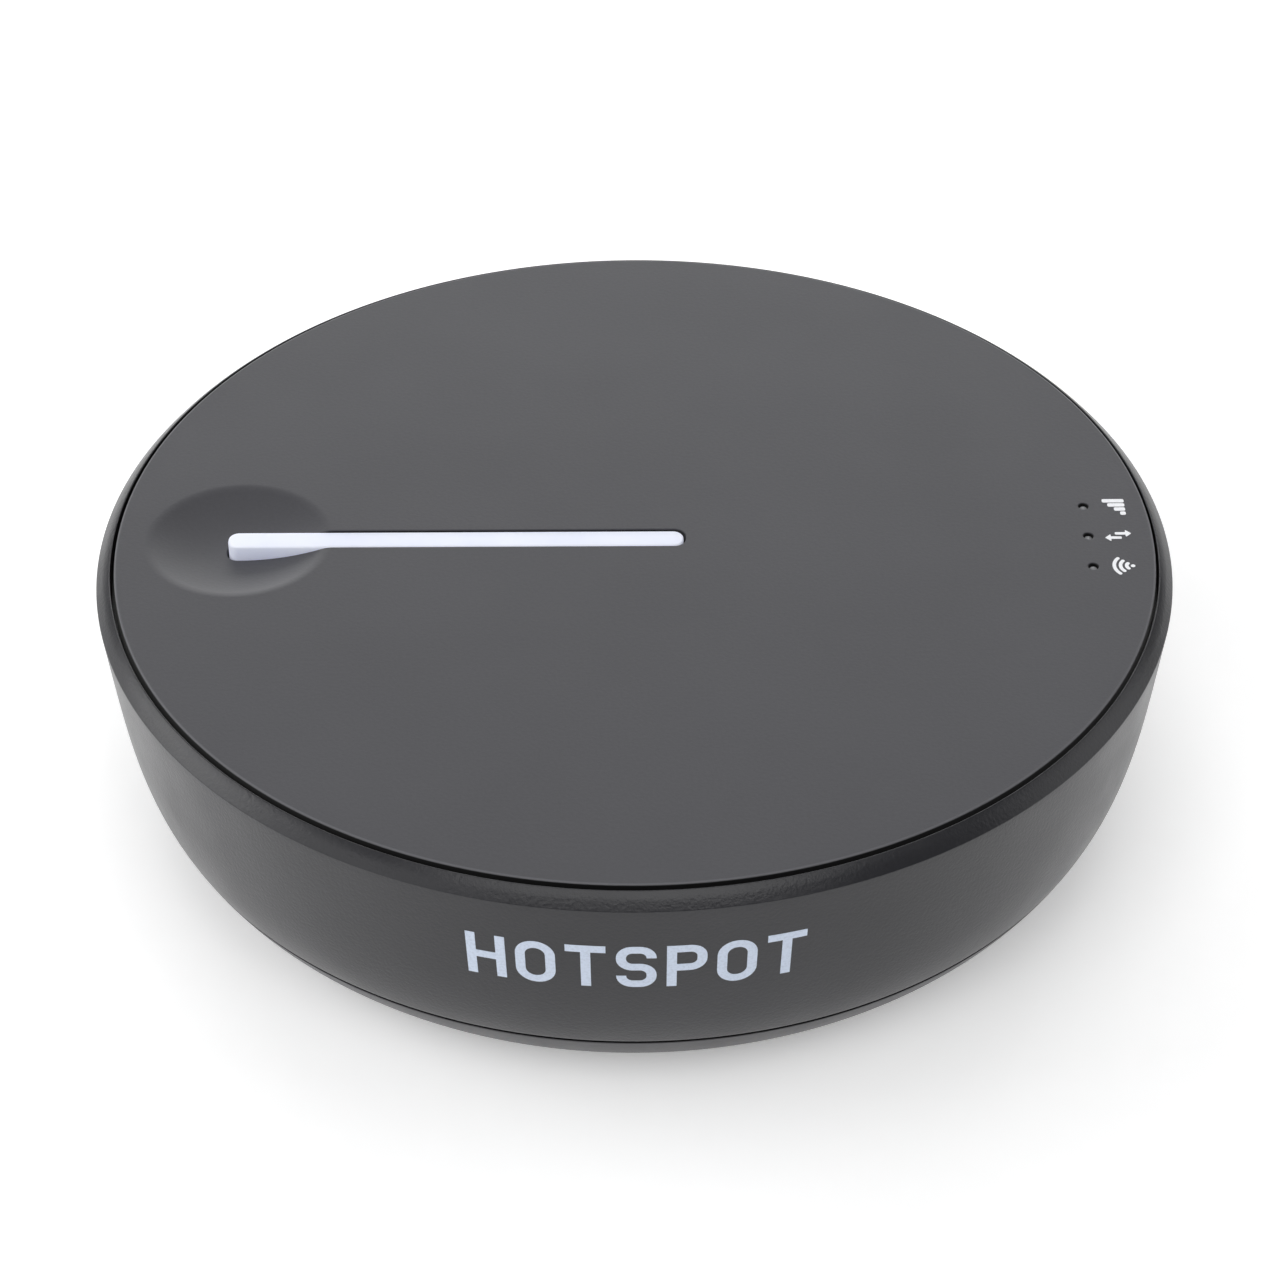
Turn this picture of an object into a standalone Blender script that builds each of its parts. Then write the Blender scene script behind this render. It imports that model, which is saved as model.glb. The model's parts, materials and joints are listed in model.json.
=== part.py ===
"""A round pocket mobile hotspot, modelled as the pieces it comes apart into on a bench.

A bowl-shaped shell carries a flush top cover with a thumb dish, and a shallow base cover closes it below.
A long white power bar lies flush in the cover: it rocks on a pin near the middle of the disc, and its far
end, over the dish, presses a switch on the circuit board. The board, antennas and battery fill the inside.

Axes: +Z up, the marked front faces -Y, the dish is at -X and the three indicator lights are at +X.
The origin is the centre of the foot's underside.
"""

import math

import bmesh
import bpy
from mathutils import Vector

MM = 0.001

# Overall sizes
HEIGHT = 22.5 * MM
BODY_RADIUS = 42.5 * MM
WALL = 1.8 * MM
REST_GAP = 0.3 * MM  # between pieces that rest on each other

# Side wall: a slight draft, then a tuck towards the base that grows with the fifth power of the depth
RIM_DROP = 1.25 * MM
SHOULDER_Z = HEIGHT - RIM_DROP
DRAFT = 0.11
TUCK = 4.7 * MM
TUCK_DEPTH = 20.5 * MM
TUCK_POWER = 5

# Top cover and its seat in the shell
COVER_RADIUS = 41.08 * MM
COVER_THICKNESS = 1.8 * MM
COVER_UNDERSIDE = HEIGHT - COVER_THICKNESS
COVER_EDGE_BEVEL = 0.18 * MM
COVER_GAP = 0.32 * MM
RIM_INNER_RADIUS = COVER_RADIUS + COVER_GAP
RIM_TOP = HEIGHT - 0.05 * MM
LEDGE_INNER_RADIUS = 39.2 * MM
LEDGE_TOP = COVER_UNDERSIDE - REST_GAP
LEDGE_UNDERSIDE = LEDGE_TOP - 1.2 * MM
HOOK_ANGLES = (45, 135, 225, 315)

# Seam between the shell and the base cover
SEAM_Z = 5.65 * MM
SHELL_BOTTOM = SEAM_Z + REST_GAP / 2
BASE_RIM = SEAM_Z - REST_GAP / 2
LIP_RADIUS = 37.5 * MM
LIP_THICKNESS = 1.0 * MM
LIP_TOP = 8.0 * MM

# Base cover, foot and label
BASE_BOTTOM = 0.5 * MM
BASE_FLOOR = 2.3 * MM
BASE_FLOOR_RADIUS = 33.0 * MM
GROOVE_RADIUS = 31.5 * MM
GROOVE_WIDTH = 4.6 * MM
GROOVE_CEILING = 1.4 * MM
FOOT_WIDTH = 4.0 * MM
LABEL_RADIUS = 21.7 * MM
LABEL_RECESS_CEILING = 1.1 * MM

# Shoulder inside the shell that the chassis rests on
SHOULDER_INNER_RADIUS = 36.5 * MM
SHOULDER_LOW = 12.2 * MM
SHOULDER_TOP = 13.2 * MM

# Chassis and circuit board
CHASSIS_RADIUS = 37.9 * MM
CHASSIS_LOW = SHOULDER_TOP + REST_GAP
CHASSIS_TOP = CHASSIS_LOW + 0.8 * MM
STANDOFF_TOP = CHASSIS_TOP + 0.6 * MM
BOARD_RADIUS = 37.3 * MM
BOARD_LOW = STANDOFF_TOP + REST_GAP
BOARD_TOP = BOARD_LOW + 0.8 * MM
SOLDER_GAP = 0.1 * MM
PART_LOW = BOARD_TOP + SOLDER_GAP  # underside of what is soldered on the board

# Battery
BATTERY_SIZE = Vector((54.0, 45.0, 9.8)) * MM
BATTERY_LOW = 3.4 * MM
FOAM_SIZE = Vector((40.0, 34.0, 0.5)) * MM

# Thumb dish and power bar
DISH_CENTRE_X = -31.4 * MM
DISH_RADIUS = 7.15 * MM
DISH_DEPTH = 1.3 * MM
PAD_RADIUS = 7.2 * MM
PAD_UNDERSIDE = HEIGHT - 2.4 * MM
BAR_LEFT = -32.2 * MM
BAR_RIGHT = 3.9 * MM
BAR_WIDTH = 2.1 * MM
BAR_TOP = HEIGHT - 0.08 * MM
BAR_CORNER = 0.85 * MM
SLOT_GAP = 0.2 * MM
FLANGE_TOP = PAD_UNDERSIDE - 0.4 * MM
FLANGE_LOW = FLANGE_TOP - 0.8 * MM
FLANGE_WIDTH = 4.0 * MM
PIVOT_X = 5.6 * MM
PIVOT_Z = 18.9 * MM
PIN_RADIUS = 0.5 * MM
PIN_CLEARANCE = 0.06 * MM
LUG_RADIUS = 1.3 * MM
EAR_INNER_Y = 2.5 * MM
EAR_THICKNESS = 1.2 * MM

# Switch under the bar's free end
SWITCH_X = -29.0 * MM
SWITCH_SIZE = Vector((3.5, 3.0, 1.2)) * MM
PLUNGER_RADIUS = 0.8 * MM
PLUNGER_LOW = 16.9 * MM
PLUNGER_TOP = 17.9 * MM

# Reset switch at the back, reached with a pin through the wall
RESET_ANGLE = 105
RESET_Z = 16.9 * MM
RESET_BODY_INNER = 34.3 * MM
RESET_BODY_OUTER = 37.0 * MM
RESET_PLUNGER_RADIUS = 0.6 * MM
RESET_PLUNGER_INNER = 36.2 * MM
RESET_PLUNGER_OUTER = 37.7 * MM
PINHOLE_RADIUS = 0.7 * MM

# Indicator lights
LIGHT_X = 36.0 * MM
LIGHT_PITCH = 4.0 * MM
LIGHT_HOLE_RADIUS = 0.5 * MM
LIGHT_PIN_RADIUS = 0.38 * MM
LIGHT_PIN_TOP = HEIGHT - 0.3 * MM
LIGHT_NAMES = ("signal", "data", "wireless")

# USB-C socket at the back
USB_WIDTH = 8.94 * MM
USB_HEIGHT = 3.26 * MM
USB_WALL = 0.3 * MM
USB_FRONT_Y = 41.0 * MM
USB_DEPTH = 7.3 * MM
USB_Z = 16.9 * MM
USB_HOLE_GAP = 0.28 * MM

# Fasteners
BASE_SCREW_RADIUS_AT = GROOVE_RADIUS
BASE_SCREW_ANGLES = (0, 90, 180, 270)
BOARD_SCREW_RADIUS_AT = 33.0 * MM
BOARD_SCREW_ANGLES = (50, 130, 230, 310)

# Antennas
CARRIER_INNER_RADIUS = 38.3 * MM
CARRIER_OUTER_RADIUS = 39.1 * MM
CARRIER_TOP = 17.9 * MM
FLEX_RADIUS = 37.8 * MM
FLEX_THICKNESS = 0.2 * MM
ANTENNAS = (("lte_main", 235, 305), ("lte_diversity", 20, 65), ("wireless_lan", 115, 165))

BIG_SIDES = 80
SMALL_SIDES = 24

FINISHES = {
    "soft_touch_charcoal": ("55565A", 0.55, 0.0),
    "shell_charcoal": ("4B4B4E", 0.5, 0.0),
    "white_bar": ("EDF0FA", 0.35, 0.0),
    "foot_rubber": ("242426", 0.8, 0.0),
    "label_film": ("3A3A3C", 0.5, 0.0),
    "chassis_black": ("1E1E20", 0.6, 0.0),
    "board_green": ("1F4A33", 0.45, 0.0),
    "tinned_steel": ("B9BBBD", 0.3, 1.0),
    "screw_steel": ("8D9093", 0.35, 1.0),
    "aluminium_sheet": ("C9CBCD", 0.35, 1.0),
    "gold_contact": ("C8A75A", 0.3, 1.0),
    "battery_pouch": ("A9ACB0", 0.35, 1.0),
    "clear_guide": ("D9DDE2", 0.2, 0.0),
    "led_package": ("F2EFDC", 0.4, 0.0),
    "black_resin": ("17171A", 0.5, 0.0),
    "foam_grey": ("5A5B5E", 0.9, 0.0),
    "thermal_pad_blue": ("8FA3B8", 0.85, 0.0),
    "lead_red": ("A3211D", 0.45, 0.0),
    "lead_black": ("151517", 0.45, 0.0),
    "flex_amber": ("9A6A2C", 0.4, 0.0),
    "connector_ivory": ("DAD5C4", 0.5, 0.0),
}


# --- scene and material helpers ---------------------------------------------------------------------------


def clear_scene():
    for obj in list(bpy.data.objects):
        bpy.data.objects.remove(obj)


def new_collection(name):
    collection = bpy.data.collections.new(name)
    bpy.context.scene.collection.children.link(collection)
    return collection


def linear(channel):
    """One sRGB channel, 0 to 1, as linear light."""
    return channel / 12.92 if channel <= 0.04045 else ((channel + 0.055) / 1.055) ** 2.4


def finish_material(name):
    material = bpy.data.materials.get(name)
    if material:
        return material
    hex_colour, roughness, metallic = FINISHES[name]
    material = bpy.data.materials.new(name)
    material.use_nodes = True
    shader = material.node_tree.nodes["Principled BSDF"]
    red, green, blue = (linear(int(hex_colour[i : i + 2], 16) / 255) for i in (0, 2, 4))
    shader.inputs["Base Color"].default_value = (red, green, blue, 1)
    shader.inputs["Roughness"].default_value = roughness
    shader.inputs["Metallic"].default_value = metallic
    return material


def add_object(name, data, finish, location=(0, 0, 0), turn=0.0):
    """A new object of the hotspot. turn is about +Z, in degrees."""
    obj = bpy.data.objects.new(name, data)
    obj.location = location
    obj.rotation_euler.z = math.radians(turn)
    data.materials.append(finish_material(finish))
    parts.objects.link(obj)
    return obj


def mesh_from(bm, name):
    bmesh.ops.recalc_face_normals(bm, faces=bm.faces)
    mesh = bpy.data.meshes.new(name)
    bm.to_mesh(mesh)
    bm.free()
    mesh.shade_smooth()
    mesh.set_sharp_from_angle(angle=math.radians(35))
    return mesh


# --- shapes -----------------------------------------------------------------------------------------------


def around(radius, degrees):
    """The point at that radius and angle from the axis."""
    angle = math.radians(degrees)
    return Vector((radius * math.cos(angle), radius * math.sin(angle)))


def cylinder(name, radius, low, high, finish, at=(0, 0), sides=SMALL_SIDES):
    bm = bmesh.new()
    bmesh.ops.create_cone(
        bm, cap_ends=True, segments=sides, radius1=radius, radius2=radius, depth=high - low
    )
    return add_object(name, mesh_from(bm, name), finish, (at[0], at[1], (low + high) / 2))


def cross_cylinder(name, radius, half_length, centre, finish, sides=SMALL_SIDES):
    """A cylinder that lies along Y."""
    obj = cylinder(name, radius, -half_length, half_length, finish, sides=sides)
    obj.location = centre
    obj.rotation_euler.x = math.radians(90)
    return obj


def radial_cylinder(name, radius, inner, outer, degrees, z, finish, sides=16):
    """A cylinder that points away from the axis, between two distances from it."""
    half = (outer - inner) / 2
    obj = cylinder(name, radius, -half, half, finish, sides=sides)
    obj.location = (*around((inner + outer) / 2, degrees), z)
    obj.rotation_euler.y = math.radians(90)
    obj.rotation_euler.z = math.radians(degrees)
    return obj


def block(name, size, centre, finish, corner=0.0, corner_steps=4, turn=0.0):
    """A box, with its upright edges rounded to the radius corner."""
    bm = bmesh.new()
    bmesh.ops.create_cube(bm, size=1)
    bmesh.ops.scale(bm, vec=size, verts=bm.verts)
    if corner:
        upright = [e for e in bm.edges if abs(e.verts[0].co.z - e.verts[1].co.z) > size[2] / 2]
        bmesh.ops.bevel(
            bm, geom=upright, offset=corner, segments=corner_steps, profile=0.5, affect="EDGES"
        )
    return add_object(name, mesh_from(bm, name), finish, centre, turn)


def block_between(name, low, high, finish, **shape):
    """A box given by its lowest and highest corner."""
    low, high = Vector(low), Vector(high)
    return block(name, high - low, (low + high) / 2, finish, **shape)


def stadium_prism(name, width, height, y_low, y_high, z_centre, finish):
    """A prism along Y whose section is a box with half-round ends."""
    obj = block(
        name,
        (width, height, y_high - y_low),
        (0, (y_low + y_high) / 2, z_centre),
        finish,
        corner=height / 2 * 0.98,
        corner_steps=8,
    )
    obj.rotation_euler.x = math.radians(90)
    return obj


def turned(name, profile, finish, sides=BIG_SIDES, closed=False):
    """A solid of revolution: profile holds (radius, height) pairs that run down the outer side."""
    count = len(profile)
    edges = [(i, i + 1) for i in range(count - 1)]
    if closed:
        edges.append((count - 1, 0))
    mesh = bpy.data.meshes.new(name)
    mesh.from_pydata([(radius, 0, height) for radius, height in profile], edges, [])
    obj = add_object(name, mesh, finish)
    screw = obj.modifiers.new("turn", "SCREW")
    screw.steps = sides
    screw.render_steps = sides
    screw.use_merge_vertices = True
    screw.merge_threshold = 0.00005
    screw.use_smooth_shade = False
    return obj


def wire(name, route, radius, finish):
    """A round wire on a smooth curve through the route's points."""
    route = [Vector(point) for point in route]
    ends = [2 * route[0] - route[1], *route, 2 * route[-1] - route[-2]]
    steps = 5
    points = []
    for before, start, end, after in zip(ends, ends[1:], ends[2:], ends[3:]):
        for i in range(steps):
            t = i / steps
            points.append(
                0.5
                * (
                    2 * start
                    + (end - before) * t
                    + (2 * before - 5 * start + 4 * end - after) * t**2
                    + (3 * start - 3 * end + after - before) * t**3
                )
            )
    points.append(route[-1])
    curve = bpy.data.curves.new(name, "CURVE")
    curve.dimensions = "3D"
    curve.bevel_depth = radius
    curve.bevel_resolution = 2
    curve.use_fill_caps = True
    spline = curve.splines.new("POLY")
    spline.points.add(len(points) - 1)
    for slot, point in zip(spline.points, points):
        slot.co = (*point, 1)
    return add_object(name, curve, finish)


def helper(obj):
    """Moves a cutter, or a shape that only joins another, out of the hotspot's own pieces."""
    parts.objects.unlink(obj)
    helpers.objects.link(obj)
    obj.hide_render = True
    obj.display_type = "WIRE"
    return obj


def boolean(target, others, operation):
    for other in others:
        modifier = target.modifiers.new(other.name, "BOOLEAN")
        modifier.operation = operation
        modifier.object = helper(other)
    return target


def cut(target, *cutters):
    return boolean(target, cutters, "DIFFERENCE")


def join(target, *shapes):
    return boolean(target, shapes, "UNION")


def bevel(obj, width, segments=2):
    modifier = obj.modifiers.new("edges", "BEVEL")
    modifier.width = width
    modifier.segments = segments
    modifier.limit_method = "ANGLE"
    modifier.angle_limit = math.radians(40)
    return obj


# --- casing -----------------------------------------------------------------------------------------------


def side_radius(z):
    """The casing's outer radius at a height below the rim."""
    depth = SHOULDER_Z - z
    return BODY_RADIUS - DRAFT * depth - TUCK * (depth / TUCK_DEPTH) ** TUCK_POWER


def heights(high, low, count, ease=1.0):
    """Heights from high to low; an ease under 1 crowds them towards the low end."""
    return [high + (low - high) * (i / (count - 1)) ** ease for i in range(count)]


def make_body_shell():
    outer = [(side_radius(z), z) for z in heights(SHOULDER_Z, SHELL_BOTTOM, 9, 0.75)]
    inner_low = [(side_radius(z) - WALL, z) for z in heights(SHOULDER_LOW, SHELL_BOTTOM, 4)]
    profile = [(RIM_INNER_RADIUS, RIM_TOP)]
    profile += outer
    profile += reversed(inner_low)
    profile += [
        (SHOULDER_INNER_RADIUS, SHOULDER_LOW),
        (SHOULDER_INNER_RADIUS, SHOULDER_TOP),
        (side_radius(SHOULDER_TOP) - WALL, SHOULDER_TOP),
        (side_radius(LEDGE_UNDERSIDE) - WALL, LEDGE_UNDERSIDE),
        (LEDGE_INNER_RADIUS, LEDGE_UNDERSIDE),
        (LEDGE_INNER_RADIUS, LEDGE_TOP),
        (RIM_INNER_RADIUS, LEDGE_TOP),
    ]
    shell = turned("body_shell", profile, "shell_charcoal", closed=True)
    usb_hole = stadium_prism(
        "usb_wall_hole",
        USB_WIDTH + 2 * USB_HOLE_GAP,
        USB_HEIGHT + 2 * USB_HOLE_GAP,
        USB_FRONT_Y - 4 * MM,
        BODY_RADIUS + 2 * MM,
        USB_Z,
        "shell_charcoal",
    )
    pinhole = radial_cylinder(
        "reset_pinhole",
        PINHOLE_RADIUS,
        CARRIER_OUTER_RADIUS + 0.2 * MM,
        BODY_RADIUS + 2 * MM,
        RESET_ANGLE,
        RESET_Z,
        "shell_charcoal",
    )
    return cut(shell, usb_hole, pinhole)


def make_cover_hook(degrees):
    """A snap hook under the cover: a stem inside the ledge and a nose that catches under it."""
    stem_outer = LEDGE_INNER_RADIUS - REST_GAP
    nose_top = LEDGE_UNDERSIDE - REST_GAP
    low = nose_top - 0.7 * MM
    stem_height = COVER_UNDERSIDE + 0.3 * MM - low
    stem_at = around(stem_outer - 0.5 * MM, degrees)
    stem = block(
        f"hook_stem_{degrees}",
        (1.0 * MM, 5.0 * MM, stem_height),
        (*stem_at, low + stem_height / 2),
        "soft_touch_charcoal",
        turn=degrees,
    )
    nose_at = around(stem_outer + 0.1 * MM, degrees)
    nose = block(
        f"hook_nose_{degrees}",
        (1.2 * MM, 4.4 * MM, nose_top - low - 0.1 * MM),
        (*nose_at, (nose_top + low + 0.1 * MM) / 2),
        "soft_touch_charcoal",
        turn=degrees,
    )
    return [stem, nose]


def make_bar_ears():
    """Two ears under the cover that hold the power bar's pin."""
    ears = []
    for side in (-1, 1):
        near, far = side * EAR_INNER_Y, side * (EAR_INNER_Y + EAR_THICKNESS)
        ears.append(
            block_between(
                f"ear_{'front' if side < 0 else 'back'}",
                (PIVOT_X - 1.3 * MM, min(near, far), PIVOT_Z - 1.3 * MM),
                (PIVOT_X + 1.3 * MM, max(near, far), COVER_UNDERSIDE + 0.3 * MM),
                "soft_touch_charcoal",
            )
        )
    return ears


def make_dish_cutter():
    """A shallow spherical cap, closed by a flat top above the cover."""
    sphere_radius = (DISH_RADIUS**2 + DISH_DEPTH**2) / (2 * DISH_DEPTH)
    above = 1.0 * MM
    rings = 6
    cap = []
    for i in range(rings + 1):
        radius = DISH_RADIUS * (1 - i / rings)
        drop = math.sqrt(sphere_radius**2 - radius**2) - (sphere_radius - DISH_DEPTH)
        cap.append((radius, HEIGHT - drop))
    profile = [(0, HEIGHT + above), (DISH_RADIUS, HEIGHT + above), *cap]
    cutter = turned("dish_cutter", profile, "soft_touch_charcoal", sides=40)
    cutter.location.x = DISH_CENTRE_X
    return cutter


def make_top_cover():
    edge = COVER_RADIUS - COVER_EDGE_BEVEL
    profile = [
        (0, HEIGHT),
        (edge, HEIGHT),
        (COVER_RADIUS, HEIGHT - COVER_EDGE_BEVEL),
        (COVER_RADIUS, COVER_UNDERSIDE),
        (0, COVER_UNDERSIDE),
    ]
    cover = turned("top_cover", profile, "soft_touch_charcoal")
    pad = cylinder(
        "dish_pad",
        PAD_RADIUS,
        PAD_UNDERSIDE,
        COVER_UNDERSIDE + 0.5 * MM,
        "soft_touch_charcoal",
        at=(DISH_CENTRE_X, 0),
        sides=40,
    )
    join(cover, pad, *make_bar_ears())
    for degrees in HOOK_ANGLES:
        join(cover, *make_cover_hook(degrees))
    slot = block_between(
        "bar_slot",
        (BAR_LEFT - SLOT_GAP, -BAR_WIDTH / 2 - SLOT_GAP, PAD_UNDERSIDE - 1 * MM),
        (BAR_RIGHT + SLOT_GAP, BAR_WIDTH / 2 + SLOT_GAP, HEIGHT + 1 * MM),
        "soft_touch_charcoal",
        corner=BAR_CORNER + SLOT_GAP,
    )
    pin_bore = cross_cylinder(
        "ear_bore",
        PIN_RADIUS + PIN_CLEARANCE,
        EAR_INNER_Y + 2 * EAR_THICKNESS,
        (PIVOT_X, 0, PIVOT_Z),
        "soft_touch_charcoal",
        sides=16,
    )
    cut(cover, make_dish_cutter(), slot, pin_bore)
    for name, y in light_places():
        hole = cylinder(
            f"light_hole_{name}",
            LIGHT_HOLE_RADIUS,
            COVER_UNDERSIDE - 1 * MM,
            HEIGHT + 1 * MM,
            "soft_touch_charcoal",
            at=(LIGHT_X, y),
            sides=16,
        )
        cut(cover, hole)
    return cover


def make_base_cover():
    outer = [(side_radius(z), z) for z in heights(BASE_RIM, BASE_BOTTOM, 7)]
    groove_out = GROOVE_RADIUS + GROOVE_WIDTH / 2
    groove_in = GROOVE_RADIUS - GROOVE_WIDTH / 2
    recess_radius = LABEL_RADIUS + REST_GAP
    profile = [
        (0, BASE_FLOOR),
        (BASE_FLOOR_RADIUS, BASE_FLOOR),
        (LIP_RADIUS - LIP_THICKNESS, BASE_RIM - 0.7 * MM),
        (LIP_RADIUS - LIP_THICKNESS, LIP_TOP),
        (LIP_RADIUS, LIP_TOP),
        (LIP_RADIUS, BASE_RIM),
    ]
    profile += outer
    profile += [
        (groove_out, BASE_BOTTOM),
        (groove_out, GROOVE_CEILING),
        (groove_in, GROOVE_CEILING),
        (groove_in, BASE_BOTTOM),
        (recess_radius, BASE_BOTTOM),
        (recess_radius, LABEL_RECESS_CEILING),
        (0, LABEL_RECESS_CEILING),
    ]
    base = turned("base_cover", profile, "shell_charcoal")
    for degrees in BASE_SCREW_ANGLES:
        at = around(BASE_SCREW_RADIUS_AT, degrees)
        pad_top = BASE_FLOOR + 1.1 * MM
        pad = cylinder(f"screw_pad_{degrees}", 3.2 * MM, 1.9 * MM, pad_top, "shell_charcoal", at)
        join(base, pad)
    for degrees in BASE_SCREW_ANGLES:
        at = around(BASE_SCREW_RADIUS_AT, degrees)
        seat = cylinder(f"head_seat_{degrees}", 2.1 * MM, 1.0 * MM, 2.4 * MM, "shell_charcoal", at)
        bore = cylinder(f"screw_bore_{degrees}", 1.1 * MM, 0, 5.0 * MM, "shell_charcoal", at)
        cut(base, seat, bore)
    return base


def make_foot_ring():
    inner = GROOVE_RADIUS - FOOT_WIDTH / 2
    outer = GROOVE_RADIUS + FOOT_WIDTH / 2
    top = GROOVE_CEILING - REST_GAP
    bevel_width = 0.25 * MM
    profile = [
        (inner, top),
        (outer, top),
        (outer, bevel_width),
        (outer - bevel_width, 0),
        (inner + bevel_width, 0),
        (inner, bevel_width),
    ]
    return turned("foot_ring", profile, "foot_rubber", closed=True)


def make_rating_label():
    low = BASE_BOTTOM + 0.05 * MM
    return cylinder("rating_label", LABEL_RADIUS, low, low + 0.25 * MM, "label_film", sides=64)


# --- power bar and switch ---------------------------------------------------------------------------------


def make_power_bar():
    """The bar's origin is on its hinge axis; its shapes are placed from there."""
    bar = block_between(
        "power_bar",
        (BAR_LEFT - PIVOT_X, -BAR_WIDTH / 2, FLANGE_LOW + 0.2 * MM - PIVOT_Z),
        (BAR_RIGHT - PIVOT_X, BAR_WIDTH / 2, BAR_TOP - PIVOT_Z),
        "white_bar",
        corner=BAR_CORNER,
    )
    bar.data.transform(bar.matrix_basis)
    bar.location = (PIVOT_X, 0, PIVOT_Z)
    flange = block_between(
        "bar_flange",
        (BAR_LEFT - 1.2 * MM, -FLANGE_WIDTH / 2, FLANGE_LOW),
        (PIVOT_X, FLANGE_WIDTH / 2, FLANGE_TOP),
        "white_bar",
        corner=0.5 * MM,
    )
    lug = cross_cylinder(
        "bar_lug", LUG_RADIUS, FLANGE_WIDTH / 2 - 0.05 * MM, (PIVOT_X, 0, PIVOT_Z), "white_bar"
    )
    nub_low = PLUNGER_TOP + REST_GAP
    nub = cylinder(
        "bar_nub", 1.0 * MM, nub_low, FLANGE_LOW + 0.3 * MM, "white_bar", at=(SWITCH_X, 0), sides=16
    )
    bore = cross_cylinder(
        "lug_bore",
        PIN_RADIUS + PIN_CLEARANCE,
        FLANGE_WIDTH,
        (PIVOT_X, 0, PIVOT_Z),
        "white_bar",
        sides=16,
    )
    join(bar, flange, lug, nub)
    return cut(bar, bore)


def make_pivot_pin():
    half = EAR_INNER_Y + EAR_THICKNESS
    return cross_cylinder(
        "bar_pivot_pin", PIN_RADIUS, half, (PIVOT_X, 0, PIVOT_Z), "screw_steel", sides=16
    )


def make_switch():
    low = PART_LOW
    body = block_between(
        "tact_switch_body",
        (SWITCH_X - SWITCH_SIZE.x / 2, -SWITCH_SIZE.y / 2, low),
        (SWITCH_X + SWITCH_SIZE.x / 2, SWITCH_SIZE.y / 2, low + SWITCH_SIZE.z),
        "black_resin",
    )
    well = cylinder(
        "plunger_well",
        PLUNGER_RADIUS + 0.15 * MM,
        PLUNGER_LOW - 0.4 * MM,
        PLUNGER_TOP + 1 * MM,
        "black_resin",
        at=(SWITCH_X, 0),
        sides=16,
    )
    cut(body, well)
    cylinder(
        "tact_switch_plunger",
        PLUNGER_RADIUS,
        PLUNGER_LOW,
        PLUNGER_TOP,
        "connector_ivory",
        at=(SWITCH_X, 0),
        sides=16,
    )


def make_reset_switch():
    body_at = around((RESET_BODY_INNER + RESET_BODY_OUTER) / 2, RESET_ANGLE)
    body_height = 2 * (RESET_Z - PART_LOW)
    body = block(
        "reset_switch_body",
        (RESET_BODY_OUTER - RESET_BODY_INNER, 3.4 * MM, body_height),
        (*body_at, RESET_Z),
        "black_resin",
        turn=RESET_ANGLE,
    )
    well = radial_cylinder(
        "reset_well",
        RESET_PLUNGER_RADIUS + 0.12 * MM,
        RESET_PLUNGER_INNER - 0.4 * MM,
        RESET_BODY_OUTER + 1 * MM,
        RESET_ANGLE,
        RESET_Z,
        "black_resin",
    )
    cut(body, well)
    radial_cylinder(
        "reset_switch_plunger",
        RESET_PLUNGER_RADIUS,
        RESET_PLUNGER_INNER,
        RESET_PLUNGER_OUTER,
        RESET_ANGLE,
        RESET_Z,
        "connector_ivory",
    )


# --- indicator lights -------------------------------------------------------------------------------------


def light_places():
    """Each light's name and its place along Y, from the back to the front."""
    return [(name, (1 - i) * LIGHT_PITCH) for i, name in enumerate(LIGHT_NAMES)]


def make_lights():
    led_top = PART_LOW + 0.6 * MM
    rail_top = COVER_UNDERSIDE - REST_GAP
    rail = block_between(
        "light_guide",
        (LIGHT_X - 0.8 * MM, -LIGHT_PITCH - 1.2 * MM, rail_top - 1.0 * MM),
        (LIGHT_X + 0.8 * MM, LIGHT_PITCH + 1.2 * MM, rail_top),
        "clear_guide",
    )
    for name, y in light_places():
        pin = cylinder(
            f"guide_pin_{name}",
            LIGHT_PIN_RADIUS,
            led_top + REST_GAP,
            LIGHT_PIN_TOP,
            "clear_guide",
            at=(LIGHT_X, y),
            sides=16,
        )
        join(rail, pin)
        block(
            f"led_{name}",
            (0.8 * MM, 1.6 * MM, led_top - PART_LOW),
            (LIGHT_X, y, (PART_LOW + led_top) / 2),
            "led_package",
        )


# --- chassis, board and what is on it -----------------------------------------------------------------------


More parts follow.
